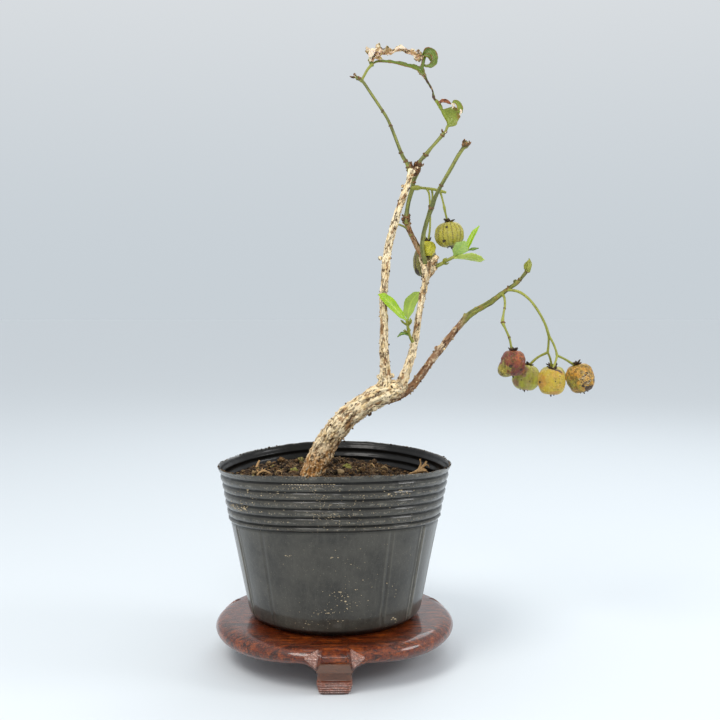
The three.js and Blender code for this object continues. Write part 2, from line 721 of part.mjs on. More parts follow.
// The soil fills the pot, and its top is a grid of rings whose points stand up or down as crumbs
function soilGeometry() {
  const random = randomFrom(41);
  const points = [];
  const edgeRadius = (z, turn) => {
    const height = z - POT_BASE;
    return potRadius(height - potLift(height, turn)) - POT_WALL - SOIL_CLEAR;
  };
  const bottom = POT_BASE + POT_WALL + GAP;
  for (const z of [bottom, bottom + 3, bottom + 30]) {
    for (let k = 0; k < SOIL_SEGMENTS; k += 1) {
      const turn = (2 * Math.PI * k) / SOIL_SEGMENTS;
      const reach = z === bottom ? 30.2 : edgeRadius(z, turn);
      points.push([reach * Math.cos(turn), reach * Math.sin(turn), z]);
    }
  }
  for (let i = 0; i < SOIL_RINGS; i += 1) {
    const share = 1 - i / SOIL_RINGS;
    for (let k = 0; k < SOIL_SEGMENTS; k += 1) {
      const jitter = i === 0 ? 0 : 0.35 * (random() - 0.5);
      const turn = (2 * Math.PI * (k + jitter * 2)) / SOIL_SEGMENTS;
      const reach = edgeRadius(SOIL_LEVEL - 3, turn) * (share + (jitter * 0.5) / SOIL_RINGS);
      const x = reach * Math.cos(turn);
      const y = reach * Math.sin(turn);
      const crumb = SOIL_CRUMB * (2 * random() - 1) * (share > 0.2 ? 1 : 0.3);
      points.push([x, y, soilHeight(x, y) + crumb]);
    }
  }
  points.push([0, 0, bottom], [0, 0, soilHeight(0, 0)]);
  const rings = SOIL_RINGS + 3;
  const hub = rings * SOIL_SEGMENTS;
  return closed(points, ringFaces(rings, SOIL_SEGMENTS, hub, hub + 1));
}

// A seed capsule: a squat ball with a furrow between its lobes, a toothed calyx on top and a nub below
function capsuleSolid({ at, wide, tall, lean = [0, 0], lobes = 5, turn, swelling }, number) {
  const random = randomFrom(100 + number);
  const sides = lobes * 4;
  const points = [];
  for (let i = 1; i < FRUIT_RINGS; i += 1) {
    const down = (Math.PI * (FRUIT_RINGS - i)) / FRUIT_RINGS;
    const ring = (wide / 2) * Math.sin(down) ** 0.86;
    const dimple = 0.05 * tall * Math.exp(-((Math.sin(down) / 0.45) ** 2)) * Math.sign(Math.cos(down));
    for (let k = 0; k < sides; k += 1) {
      const angle = (2 * Math.PI * k) / sides + THREE.MathUtils.degToRad(turn);
      const furrow = 1 - Math.abs(Math.cos((lobes * Math.PI * k) / sides));
      const reach = ring * (1 - FRUIT_GROOVE * furrow + 0.03 * (random() - 0.5));
      const z = (tall / 2) * Math.cos(down) - dimple;
      points.push([reach * Math.cos(angle), reach * Math.sin(angle), z]);
    }
  }
  points.push([0, 0, -0.46 * tall], [0, 0, 0.46 * tall]);
  const rings = FRUIT_RINGS - 1;
  const body = closed(points, ringFaces(rings, sides, rings * sides, rings * sides + 1));
  const calyx = calyxDisc(wide > 8 ? 1.9 : 1.2);
  calyx.translate(0, 0, 0.45 * tall);
  const nub = new THREE.ConeGeometry(0.5, 1.4, 4);
  nub.rotateX(-Math.PI / 2);
  nub.translate(0, 0, -0.49 * tall);
  const parts = [body, calyx, nub];
  if (swelling) parts.push(lump(swelling, { detail: 1 }));
  parts.forEach((part) => {
    part.rotateY(lean[0]);
    part.rotateX(lean[1]);
    part.translate(...at);
  });
  return fuse(parts);
}

// Five short teeth round a small disc, left from the flower
function calyxDisc(radius) {
  const points = [];
  const sides = 10;
  for (const [z, share] of [[-0.3, 0.9], [0.5, 0.95]]) {
    for (let k = 0; k < sides; k += 1) {
      const angle = (2 * Math.PI * k) / sides;
      const reach = radius * share * (k % 2 === 0 ? 1 : 0.62);
      points.push([reach * Math.cos(angle), reach * Math.sin(angle), z]);
    }
  }
  points.push([0, 0, -0.5], [0, 0, 0.4]);
  return closed(points, ringFaces(2, sides, 2 * sides, 2 * sides + 1));
}

// The pointed bud: overlapping scales show as steps round an oval body
function budGeometry() {
  const foot = new THREE.Vector3(...BUD_FOOT);
  const axis = new THREE.Vector3(...BUD_TIP).sub(foot);
  const profile = [
    [0, 0],
    [0.6, 0.02],
    [1.0, 0.12],
    [1.55, 0.24],
    [1.45, 0.3],
    [BUD_R, 0.42],
    [1.6, 0.56],
    [1.2, 0.62],
    [1.15, 0.7],
    [0.7, 0.85],
    [0, 1],
  ];
  const rows = profile.map(([radius, share]) => new THREE.Vector2(radius, share * axis.length()));
  const geometry = new THREE.LatheGeometry(rows, 9);
  const upright = new THREE.Vector3(0, 1, 0);
  geometry.applyQuaternion(new THREE.Quaternion().setFromUnitVectors(upright, axis.clone().normalize()));
  geometry.translate(foot.x, foot.y, foot.z);
  return geometry;
}

// Leaves: the long axis is the midrib from its stalk to its tip, and half widths are in millimetres
const LEAVES = {
  leaf_middle_left: {
    line: [
      [28.1, -3.4, 132.5], [25.1, -4.9, 135.4], [21.6, -6.2, 139.1], [18.8, -7.0, 141.6],
      [17.1, -7.4, 142.7],
    ],
    left: [0.4, 1.9, 2.6, 1.9, 0.3],
    right: [0.4, 1.9, 2.6, 1.9, 0.3],
    face: [0.25, -0.8, 0.5],
    bend: [20, 28, 15],
    teeth: 0.12,
    colour: 0x8fc31f,
  },
  leaf_middle_right: {
    line: [
      [28.6, -2.9, 132.8], [29.1, 0.3, 136.1], [30.5, 3.8, 140.0], [32.4, 5.2, 142.3],
      [34.2, 5.8, 143.7],
    ],
    left: [0.4, 2.3, 3.0, 2.3, 0.3],
    right: [0.4, 2.3, 3.0, 2.3, 0.3],
    face: [-0.3, -0.9, 0.1],
    bend: [10, 16, 10],
    teeth: 0.12,
    colour: 0x9fbf55,
  },
  leaf_middle_small: {
    line: [[28.8, -2.4, 126.9], [26.7, -3.2, 127.5], [24.5, -4.0, 126.2]],
    left: [0.4, 1.1, 0.3],
    right: [0.4, 1.1, 0.3],
    face: [0.0, -0.5, 0.85],
    steps: 6,
    teeth: 0.12,
    colour: 0x5f7f2a,
  },
  leaf_upper_long: {
    line: [
      [46.6, -2.6, 156.7], [49.5, -3.3, 157.0], [53.4, -3.8, 156.8], [56.4, -4.2, 156.1],
      [58.1, -4.4, 156.0],
    ],
    left: [0.4, 1.9, 2.9, 2.4, 0.3],
    right: [0.4, 1.9, 2.9, 2.4, 0.3],
    face: [0.1, 0.5, 0.86],
    bend: [5, 12, 5],
    teeth: 0.12,
    colour: 0xb9cf6a,
  },
  leaf_upper_broad: {
    line: [[46.4, -2.7, 157.6], [47.6, -4.5, 159.2], [49.1, -5.8, 160.9], [50.4, -6.6, 162.9]],
    left: [0.4, 2.3, 3.0, 0.8],
    right: [0.4, 2.3, 3.0, 0.8],
    face: [0.1, -0.95, -0.1],
    bend: [10, 14, 10],
    teeth: 0.12,
    steps: 8,
    colour: 0x9dbb7a,
  },
  leaf_upper_narrow: {
    line: [[51.8, -1.6, 160.2], [52.8, -1.1, 162.9], [54.6, -0.1, 166.4], [56.5, 0.9, 169.4]],
    left: [0.4, 1.5, 1.4, 0.3],
    right: [0.4, 1.5, 1.4, 0.3],
    face: [-0.6, -0.75, 0.3],
    bend: [40, 55, 40],
    teeth: 0.12,
    steps: 8,
    colour: 0x86b51f,
  },
  leaf_upper_small: {
    line: [[52.2, -1.9, 159.9], [53.9, -1.8, 160.2], [56.1, -1.6, 160.6]],
    left: [0.3, 0.9, 0.3],
    right: [0.3, 0.9, 0.3],
    face: [0.0, -0.7, 0.7],
    steps: 6,
    teeth: 0.12,
    colour: 0x5f8f2a,
  },
};

// The top leaf is eaten and half dry: a crumpled brown ribbon over a green strip that curls at its end
const DRIED_RIBBON = {
  line: [
    [14.6, 2.0, 233.2], [15.2, 2.3, 235.6], [17.2, 2.6, 237.6], [19.7, 2.8, 237.0], [22.4, 3.0, 237.3],
    [25.9, 3.2, 238.4], [29.5, 3.5, 237.4], [32.0, 3.8, 236.0], [33.4, 4.0, 235.4],
  ],
  left: [0.6, 2.2, 2.5, 1.4, 1.2, 1.7, 1.6, 1.4, 0.5],
  right: [0.6, 1.6, 2.2, 1.9, 1.2, 1.4, 1.7, 1.2, 0.5],
  face: [-0.4, -0.9, 0.2],
  roll: [0, 25, -20, 30, -25, 20, -30, 10, 0],
  bend: [30, 50, 20, 55, 25, 60, 30, 40, 20],
  teeth: 0.3,
  steps: 18,
};
const GREEN_STRIP = {
  line: [
    [14.5, 2.0, 231.4], [16.6, 2.4, 232.6], [20.9, 2.8, 232.9], [24.8, 3.2, 232.4], [28.7, 3.8, 231.8],
    [31.8, 4.3, 230.7], [33.8, 4.7, 229.5], [35.4, 5.2, 227.5], [36.2, 5.5, 226.2],
  ],
  left: [0.5, 0.5, 0.7, 0.9, 0.9, 1.3, 1.4, 0.9, 0.4],
  right: [0.5, 0.5, 0.7, 0.9, 0.9, 1.3, 1.4, 0.9, 0.4],
  face: [0.1, -0.9, 0.4],
  bend: [10, 30, 10],
  teeth: 0.15,
  steps: 14,
  across: 2,
};
const CURLED_END = {
  line: [
    [33.6, 4.8, 229.8], [33.9, 4.9, 232.6], [34.6, 5.0, 234.8], [35.1, 5.0, 236.6], [36.5, 5.0, 237.7],
    [38.2, 5.0, 237.2], [39.1, 5.0, 235.6], [39.1, 5.0, 233.4], [37.9, 5.0, 231.7], [36.2, 5.0, 231.1],
    [34.6, 5.0, 231.4],
  ],
  left: [1.2, 1.3, 1.4, 1.4, 1.5, 1.6, 1.8, 1.8, 1.6, 1.3, 1.0],
  right: [1.2, 1.3, 1.4, 1.4, 1.5, 1.6, 1.8, 1.8, 1.6, 1.3, 1.0],
  face: [1, 0, 0],
  roll: [0, 0, 0, 10, 30, 45, 55, 50, 30, 10, 0],
  teeth: 0.12,
  steps: 16,
  across: 2,
  thick: 0.8,
};
const CURLED_BAR = {
  line: [[34.4, 4.6, 234.7], [36.8, 4.6, 234.3], [39.2, 4.6, 234.5]],
  left: [0.9, 1.0, 0.9],
  right: [0.9, 1.0, 0.9],
  face: [0, 0, 1],
  steps: 4,
  across: 2,
  thick: 0.8,
};
const CUP_LEAF = {
  line: [
    [44.5, 6.7, 208.2], [44.3, 7.0, 210.4], [43.1, 7.2, 213.1], [41.9, 7.2, 215.5],
    [40.7, 7.1, 217.8], [39.5, 7.0, 219.6],
  ],
  left: [0.4, 1.0, 1.2, 1.1, 0.8, 0.4],
  right: [0.6, 5.2, 8.2, 7.3, 2.4, 0.4],
  face: [0.2, -1, 0.1],
  bend: [15, 45, 68, 72, 60, 20],
  teeth: 0.1,
  steps: 10,
  across: 6,
};

// Bits lying on the soil
const MOSS_TUFT = [4.6, 20.0, 71.2, 1.9];
const GREEN_CRUMB = [-16.7, 10.0, 71.6, 1.7];
const PEBBLE = [1.9, 8.0, 71.2, 1.8];
const ROOT_ARCH = [
  [-31.6, 4.8, 68.8, 0.5],
  [-30.5, 5.2, 71.0, 0.5],
  [-28.4, 5.5, 72.0, 0.5],
  [-26.0, 5.4, 71.0, 0.5],
  [-24.0, 5.0, 68.8, 0.5],
];
const ROOT_LEFT = [
  [-33.4, 19.0, 68.8, 0.6],
  [-32.8, 21.0, 71.4, 0.5],
  [-32.0, 22.6, 73.4, 0.4],
];
const ROOT_RIGHT = [
  [29.5, 12.5, 66.0, 1.0],
  [32.0, 14.4, 68.8, 1.2],
  [34.8, 16.2, 70.2, 1.2],
  [37.2, 17.6, 71.6, 0.9],
  [38.0, 18.2, 73.8, 0.5],
];
const ROOT_RIGHT_FORK = [
  [35.4, 16.4, 70.6, 0.8],
  [35.6, 18.0, 72.4, 0.5],
  [35.0, 19.0, 74.0, 0.4],
];

const assembly = new THREE.Group();

// Adds one named piece with its own material
function addPiece(name, geometry, colour, roughness = 0.7) {
  const look = { color: colour, roughness, metalness: 0, flatShading: true };
  const material = new THREE.MeshStandardMaterial(look);
  const mesh = new THREE.Mesh(geometry, material);
  mesh.name = name;
  assembly.add(mesh);
}

const BARK = { sides: 11, steps: 2, rough: 0.07, seed: 3 };
const BRANCH = { sides: 7, steps: 2, rough: 0.06, seed: 4 };
const TWIG = { sides: 6, steps: 1 };
const THIN = { sides: 5, steps: 1 };

// Stems of the woody tree, each with its way of being drawn
const WOOD = [
  [TRUNK_LINE, BARK],
  [LEFT_BRANCH, BRANCH],
  [MIDDLE_BRANCH, BRANCH],
  [MIDDLE_BRANCH_LEFT_ARM, BRANCH],
  [MIDDLE_BRANCH_RIGHT_ARM, BRANCH],
  [CUT_STUB, TWIG],
  [RIGHT_BRANCH, BRANCH],
];
const grown = (line, how = TWIG) => stem(line, { ...how, grow: GAP });
const woodGrown = (lines) =>
  WOOD.filter(([line]) => lines.includes(line)).map(([line, how]) => grown(line, how));
const middleTop = () => woodGrown([MIDDLE_BRANCH, MIDDLE_BRANCH_LEFT_ARM, MIDDLE_BRANCH_RIGHT_ARM, CUT_STUB]);

function addStandAndPot() {
  addPiece('stand', standGeometry(), 0x7a3415, 0.25);
  addPiece('pot', potGeometry(), 0x2e2f2d, 0.5);
}

function addSoil() {
  const holes = [
    stem(TRUNK_LINE.slice(0, 4), { sides: 12, steps: 2, grow: 0.7 }),
    lump(MOSS_TUFT, { detail: 1, squash: 0.7, grow: GAP }),
    lump(GREEN_CRUMB, { grow: GAP }),
    lump(PEBBLE, { squash: 0.7, grow: GAP }),
    grown(ROOT_ARCH, THIN),
    grown(ROOT_LEFT, THIN),
    grown(ROOT_RIGHT, TWIG),
  ];
  addPiece('soil', asGeometry(seat(asSolid(soilGeometry()), holes)), 0x3f2a1c, 0.95);
  addPiece('moss_tuft', lump(MOSS_TUFT, { detail: 1, squash: 0.7 }), 0x8a8f35, 0.9);
  addPiece('green_crumb', lump(GREEN_CRUMB), 0x9a9a4a, 0.9);
  addPiece('pebble', lump(PEBBLE, { squash: 0.7 }), 0xc9b48c, 0.8);
  addPiece('root_arch', stem(ROOT_ARCH, THIN), 0xb79a6c, 0.9);
  addPiece('root_left', stem(ROOT_LEFT, THIN), 0x9a7648, 0.9);
  const rootRight = fuse([stem(ROOT_RIGHT, TWIG), stem(ROOT_RIGHT_FORK, THIN)]);
  addPiece('root_right', asGeometry(rootRight), 0xb98f5c, 0.9);
}

function addWood() {
  const stems = WOOD.map(([line, how]) => stem(line, how));
  const knots = TRUNK_KNOTS.map((knot) => lump(knot));
  addPiece('trunk_and_branches', asGeometry(fuse([...stems, ...knots])), 0xb59a70, 0.9);
}

function addTwigs() {
  const topLeft = seat(asSolid(stem(TWIG_TOP_LEFT, TWIG)), woodGrown([LEFT_BRANCH]));
  addPiece('twig_top_left', asGeometry(topLeft), 0x7d8a4a, 0.6);
  const topRight = fuse([stem(TWIG_TOP_RIGHT, TWIG), stem(TWIG_TOP_RIGHT_SPUR, THIN)]);
  addPiece('twig_top_right', asGeometry(seat(topRight, middleTop())), 0x6f6a3a, 0.6);
  const long = seat(asSolid(stem(TWIG_LONG, TWIG)), middleTop());
  addPiece('twig_long', asGeometry(long), 0x75805a, 0.6);
  const bud = seat(asSolid(budGeometry()), woodGrown([RIGHT_BRANCH]));
  addPiece('bud_right', asGeometry(bud), 0xa3a53a, 0.5);
}

function addStalks() {
  const branch = woodGrown([RIGHT_BRANCH]);
  const draw = (lines) => fuse(lines.map((line) => stem(line, THIN)));
  const upper = seat(draw([UPPER_STALK, ...UPPER_STALK_FORKS]), [grown(TWIG_TOP_RIGHT, TWIG)]);
  addPiece('fruit_stalk_upper', asGeometry(upper), 0xa0a040, 0.6);
  addPiece('fruit_stalk_left', asGeometry(seat(draw([LEFT_STALK]), branch)), 0xa8a070, 0.6);
  const right = seat(draw([RIGHT_STALK, ...RIGHT_STALK_FORKS]), branch);
  addPiece('fruit_stalk_right', asGeometry(right), 0x9da045, 0.6);
}

function addFruits() {
  const stalks = [LEFT_STALK, ...RIGHT_STALK_FORKS, ...UPPER_STALK_FORKS];
  const sockets = stalks.map((line) => stem(line, { ...THIN, grow: GAP }));
  Object.entries(FRUITS).forEach(([name, fruit], number) => {
    addPiece(name, asGeometry(seat(capsuleSolid(fruit, number), sockets)), fruit.colour, 0.55);
  });
}

function addShootsAndLeaves() {
  const middle = seat(asSolid(stem(MIDDLE_SHOOT, THIN)), woodGrown([MIDDLE_BRANCH]));
  addPiece('shoot_middle', asGeometry(middle), 0x8faa3a, 0.5);
  const upper = seat(asSolid(stem(UPPER_SHOOT, THIN)), middleTop());
  addPiece('shoot_upper', asGeometry(upper), 0xa9b84a, 0.5);
  const carriers = [MIDDLE_SHOOT, UPPER_SHOOT].map((line) => stem(line, { ...THIN, grow: GAP }));
  for (const [name, leaf] of Object.entries(LEAVES)) {
    addPiece(name, asGeometry(seat(asSolid(blade(leaf)), carriers)), leaf.colour, 0.45);
    carriers.push(blade({ ...leaf, grow: GAP }));
  }
}

function addTopLeaves() {
  const petiole = stem(LEAF_PETIOLE_TOP, THIN);
  const blades = [GREEN_STRIP, CURLED_END, CURLED_BAR].map(blade);
  const green = fuse([petiole, ...blades, stem(LEAF_THREAD, THIN)]);
  const twig = [grown(TWIG_TOP_LEFT, TWIG)];
  addPiece('leaf_top_green', asGeometry(seat(green, twig)), 0x5d8a35, 0.5);
  const carriers = [GREEN_STRIP, CURLED_END].map((part) => blade({ ...part, grow: GAP }));
  const dried = seat(asSolid(blade(DRIED_RIBBON)), [...carriers, grown(LEAF_PETIOLE_TOP, THIN)]);
  addPiece('leaf_top_dried', asGeometry(dried), 0x9a7a52, 0.85);
  const cup = seat(fuse([blade(CUP_LEAF), stem(CUP_PETIOLE, THIN)]), [
    grown(TWIG_TOP_RIGHT, TWIG),
    grown(LEAF_THREAD, THIN),
  ]);
  addPiece('leaf_top_cup', asGeometry(cup), 0x7f9a35, 0.45);
}

addStandAndPot();
addSoil();
addWood();
addTwigs();
addStalks();
addFruits();
addShootsAndLeaves();
addTopLeaves();

// The origin is the middle of the underside of the whole box
const box = new THREE.Box3().setFromObject(assembly, true);
const centre = box.getCenter(new THREE.Vector3());
assembly.position.set(-centre.x, -centre.y, -box.min.z);

const tree = new THREE.Group();
tree.name = 'spindle_tree_bonsai';
tree.add(assembly);
tree.updateMatrixWorld(true);

export default tree;
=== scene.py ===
"""The looks of a young spindle tree grown as a bonsai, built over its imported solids.

Shapes are surfaces worked out with numpy in millimetres about the stand's centre, with X to the right, Y
away from the viewer and Z up. new_piece moves them into the part's own frame, in metres.
"""

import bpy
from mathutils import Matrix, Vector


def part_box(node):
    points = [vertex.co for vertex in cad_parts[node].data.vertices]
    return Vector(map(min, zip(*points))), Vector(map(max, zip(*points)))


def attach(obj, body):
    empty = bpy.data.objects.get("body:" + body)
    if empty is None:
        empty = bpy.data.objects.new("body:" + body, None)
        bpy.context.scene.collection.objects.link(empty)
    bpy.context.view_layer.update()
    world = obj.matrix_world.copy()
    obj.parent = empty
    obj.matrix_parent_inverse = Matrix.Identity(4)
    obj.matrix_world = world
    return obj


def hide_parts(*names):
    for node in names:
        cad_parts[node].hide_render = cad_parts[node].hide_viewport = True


bl_info = {
    "name": "Spindle tree bonsai",
    "version": (1, 0, 0),
    "blender": (4, 5, 0),
    "location": "3D View > Sidebar > Bonsai",
    "description": "Builds the looks of a spindle tree bonsai in a pot on a carved stand",
    "category": "Object",
}

import math
from functools import partial
from itertools import product
import bmesh
import bpy
import numpy as np

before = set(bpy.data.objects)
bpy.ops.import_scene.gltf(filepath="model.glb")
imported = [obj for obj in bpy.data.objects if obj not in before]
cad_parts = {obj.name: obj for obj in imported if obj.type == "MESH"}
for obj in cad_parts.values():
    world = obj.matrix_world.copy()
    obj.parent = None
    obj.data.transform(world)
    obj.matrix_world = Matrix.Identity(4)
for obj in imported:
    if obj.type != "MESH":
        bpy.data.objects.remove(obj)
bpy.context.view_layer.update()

MM = 0.001
STAND_RADIUS = 46.9
stand_low, stand_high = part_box("stand")
ORIGIN = np.array([(stand_low.x + stand_high.x) / 2, stand_high.y - STAND_RADIUS * MM, stand_low.z])

# The photograph's camera: its place, how far it looks down in radians, its focal length and the side of the
# square picture, both in pixels, and the width of the sensor that stands for it
CAMERA = np.array([10.0, -410.0, 141.9])
CAMERA_PITCH = 0.061
FOCAL_PIXELS = 1046.1
PICTURE_SIDE = 720
SENSOR_WIDTH = 36

# Stems: rows of (x, y, z, radius) along the middle, from the root outwards. Stalks that fork and the root on
# the right are lists of several stems, and each row of KNOTS is a ball of its own
TRUNK = [
    (-12.4, 5, 58.3, 4), (-11.2, 4.5, 64.5, 4.3), (-9.6, 4, 69.6, 4.4), (-7.9, 3.5, 74.1, 4.4),
    (-5.9, 3, 78.2, 4.6), (-3.5, 2.5, 83.3, 4.5), (0.5, 2, 89, 4.4), (6, 1.5, 95, 4.35),
    (12.4, 1, 99.8, 4.25), (17.9, 0.6, 103, 4.4), (22.2, 0.5, 105, 4), (25.2, 0.5, 106, 3),
]
LEFT_BRANCH = [
    (18, 0.2, 103, 3.2), (19.6, -0.2, 107, 3), (19.8, -0.5, 110.6, 2.25), (19.8, -0.8, 115.3, 1.9),
    (19.4, -1.2, 120.9, 1.75), (19.4, -2, 132.6, 1.6), (18.9, -2.6, 140.4, 1.55), (19.7, -3.2, 148.1, 1.55),
    (20.1, -3.8, 155.1, 1.55), (21.6, -4.4, 163.5, 1.45), (23.1, -4.8, 169.2, 1.55), (24.6, -5.2, 174.2, 1.3),
    (26.9, -5.6, 180.6, 1.2), (28.8, -5.9, 186.3, 1.1), (29.5, -6, 190.1, 1.2),
]
MIDDLE_BRANCH = [
    (22, 0.3, 103.4, 3), (25.8, 0.5, 106.6, 2.5), (27.3, 0.6, 110.1, 2), (29.3, 0.8, 115.6, 1.7),
    (30.8, 1, 120.7, 1.6), (32, 1, 126.6, 1.5), (32.8, 1, 132.5, 1.4), (33.9, 0.8, 139.2, 1.35),
    (35.1, 0.5, 145.1, 1.3), (35.9, 0.3, 149.4, 1.7), (36.5, 0, 152.6, 2.5), (36.8, 0, 154.6, 2.2),
]
MIDDLE_LEFT_ARM = [(36.2, 0.2, 151, 1.6), (35.1, 1.2, 154.8, 1.6), (34.3, 1.8, 157.2, 1.35)]
MIDDLE_RIGHT_ARM = [(36.6, 0, 150.2, 1.4), (38.4, 0, 152.6, 1.5), (39.8, -0.3, 153.7, 1.1)]
CUT_STUB = [(37, -0.5, 153.6, 1.4), (39.4, -1.5, 156.6, 1.25)]
RIGHT_BRANCH = [
    (21, 1.2, 101.8, 2.4), (25.4, 1.9, 103, 2.1), (30.6, 2.5, 106.4, 1.65), (33.8, 3, 110.3, 1.55),
    (37.7, 3.6, 115.8, 1.45), (41.7, 4.2, 120.6, 1.45), (45.7, 4.8, 125.7, 1.35), (49.7, 5.2, 130.5, 1.3),
    (52.9, 5.4, 134, 1.4), (55.6, 5.4, 136, 1.25), (60.7, 5.2, 138.8, 1.2), (65.4, 5, 142.3, 1.05),
    (68.6, 4.8, 144.7, 0.85), (72, 4.4, 147.1, 0.85), (74, 4.2, 149.4, 0.65), (75.6, 4, 151.4, 0.75),
]
KNOTS = [
    (15.6, -1.4, 98.2, 1.4), (20.6, -1.9, 101.4, 1.3), (24, -1.2, 104.2, 1.3), (18, -1.4, 156.6, 0.9),
    (21.3, -3.8, 156.9, 0.8), (17.4, -0.6, 110.2, 1), (22.6, -0.4, 110.6, 0.9), (26.6, 0.2, 184.6, 0.8),
    (30.4, -6, 189.4, 0.9), (40.4, 4.3, 121.4, 0.9), (44.2, 4.4, 123, 0.8), (51.6, 5.4, 134.4, 0.8),
    (55.9, 5.2, 137, 0.8), (62.6, 5.2, 139.6, 0.8), (71.2, 4.4, 147.8, 0.7), (33.4, 0.2, 137, 0.8),
    (27, -0.6, 112, 0.9),
]
TWIG_TOP_LEFT = [
    (29.3, -6, 189.2, 1), (28, -5.8, 192.7, 0.82), (26.5, -5.6, 195, 0.74), (24.6, -5, 199.7, 0.66),
    (20.8, -3.2, 209.4, 0.6), (17.7, -2, 214.6, 0.58), (13.9, -0.6, 220.5, 0.58), (11.2, 0.4, 224.6, 0.62),
    (9.8, 0.8, 225.8, 0.75), (8.1, 1, 226.8, 0.6),
]
TWIG_TOP_RIGHT = [
    (34.7, 1.6, 156.2, 1.3), (33.9, 2, 158.4, 1.25), (32.4, 2.4, 161.5, 1.15), (30.4, 2.8, 165.4, 1),
    (29, 3, 168.6, 1), (28.2, 3, 172.1, 1.3), (28.4, 3, 174.8, 0.9), (29.2, 2.8, 179.5, 0.85),
    (30.3, 2.6, 183.3, 0.9), (31.1, 2.3, 187.2, 0.85), (32.1, 2.1, 189.9, 1.1), (32.8, 2, 193, 1.3),
    (33.6, 2.2, 194.7, 0.8), (35.4, 2.8, 196.7, 0.9), (38.2, 3.9, 200.2, 0.65), (41, 5, 203.4, 0.7),
    (42.8, 5.6, 205.5, 0.8),
]
TWIG_SPUR = [(28.8, 2.8, 168, 0.5), (27.2, 2.2, 169.1, 0.4), (25.3, 1.5, 169.8, 0.4)]
TWIG_LONG = [
    (36.4, 0.2, 152.2, 0.9), (35.2, -1.8, 155.4, 0.9), (34, -3.8, 160.6, 0.85), (34.3, -5, 165, 0.8),
    (35.2, -5.5, 168.8, 0.85), (36.3, -6, 172.6, 0.85), (37.3, -6.3, 175.4, 1), (38.7, -6.8, 179.4, 0.8),
    (40.9, -7.3, 183.9, 0.75), (44.3, -8, 189.8, 0.75), (47.2, -8.6, 195, 0.75), (49.2, -9, 198, 0.8),
    (50, -9.2, 199, 1.3), (50.4, -9.3, 199.9, 1.1),
]
UPPER_STALKS = [
    [
        (30.2, 2.4, 184.1, 0.9), (32.5, 2.2, 184.2, 1.05), (33.8, 2, 184.1, 0.6), (36.6, 1.8, 183.8, 0.55),
        (39.7, 1.6, 183.3, 0.55), (41.6, 1.5, 182.8, 0.6), (43.4, 1.4, 182.3, 0.5),
    ],
    [
        (36.2, 1.8, 183.6, 0.5), (36.9, 1.6, 182.1, 0.4), (37.3, 1.5, 178.6, 0.4), (37.4, 0.9, 173.1, 0.4),
        (37.2, 0.1, 167.7, 0.4), (36.6, -0.3, 163.2, 0.5),
    ],
    [
        (41.2, 1.5, 182.8, 0.5), (41.8, 1.3, 180.9, 0.4), (42.6, 1.1, 177.8, 0.4), (42.9, 1, 176.4, 0.55),
        (43.4, 1, 174, 0.4), (44.2, 1, 170.8, 0.5),
    ],
    [
        (38.1, 1.9, 183.5, 0.45), (38.4, 3, 180.7, 0.4), (37.7, 4.5, 176.5, 0.4), (36.5, 6.5, 171.2, 0.4),
        (35.8, 9, 166.5, 0.4), (36, 10.6, 162, 0.5),
    ],
]
LEFT_STALKS = [
    [
        (66.2, 4.6, 142.9, 0.6), (66.9, 3, 141.2, 0.5), (67, 2.2, 138, 0.45), (66.4, 1.4, 134.9, 0.45),
        (66, 0.6, 131.7, 0.7), (67, -0.4, 129, 0.45), (68.3, -1.2, 125.9, 0.5), (68.9, -1.8, 123.1, 0.45),
        (69.2, -2.1, 120.6, 0.5),
    ],
]
RIGHT_STALKS = [
    [
        (68.3, 4.4, 144.3, 0.6), (70.6, 2.8, 144.1, 0.55), (72.9, 2.2, 143.4, 0.55), (76.7, 1.4, 140.4, 0.5),
        (80.4, 1, 135.3, 0.5), (82.9, 0.8, 130.4, 0.5), (84.2, 0.8, 126.3, 0.6),
    ],
    [(84.2, 0.8, 126.6, 0.5), (84.3, 1.8, 123.1, 0.45), (84.2, 3, 119.5, 0.55)],
    [(84.2, 3, 119.7, 0.5), (80.6, 4.8, 117.6, 0.45), (77.4, 6.2, 114.4, 0.5)],
    [(84.2, 3, 119.7, 0.5), (85.8, 6.4, 117.2, 0.45), (87.1, 9.4, 113.6, 0.5)],
    [(84.2, 0.8, 126.3, 0.5), (85.5, 0, 124, 0.45), (86.6, -0.6, 121.2, 0.45), (87.2, -1, 118.6, 0.55)],
    [(87.2, -1, 118.7, 0.5), (90.4, -0.4, 117.2, 0.45), (94, 0.3, 115, 0.5)],
    [(87.2, -1, 118.7, 0.5), (86.4, -3, 117, 0.45), (84.9, -5, 113.6, 0.5)],
]
MIDDLE_SHOOT = [
    (31.2, 0.6, 123.4, 0.8), (29.9, -0.9, 125.3, 0.6), (28.9, -2.4, 128.3, 0.55), (28.5, -3, 131.1, 0.6),
    (28.3, -3.2, 132.4, 0.65),
]
UPPER_SHOOT = [
    (38.9, -0.2, 153.4, 0.9), (41.2, -0.8, 154.2, 0.75), (43.4, -1.6, 155.5, 0.65), (46.1, -2.4, 156.9, 0.6),
    (48.8, -2.2, 158.2, 0.5), (52, -1.8, 160, 0.55),
]
TOP_PETIOLE = [
    (10.4, 0.5, 224.8, 0.6), (11.5, 0.9, 226.9, 0.5), (13.1, 1.6, 229.8, 0.55), (14.9, 2.2, 231.8, 0.6),
]
TOP_THREAD = [
    (35.2, 5.2, 228.2, 0.75), (36, 5.5, 226.4, 0.5), (37.4, 6, 224.3, 0.4), (38.5, 6.5, 222.4, 0.32),
    (38.8, 6.8, 220.9, 0.4), (39, 6.9, 219.9, 0.65), (39.5, 6.9, 218.9, 0.4),
]
CUP_PETIOLE = [(42.6, 5.5, 205.2, 0.6), (43.8, 6.2, 206.9, 0.5), (44.4, 6.6, 208.6, 0.6)]
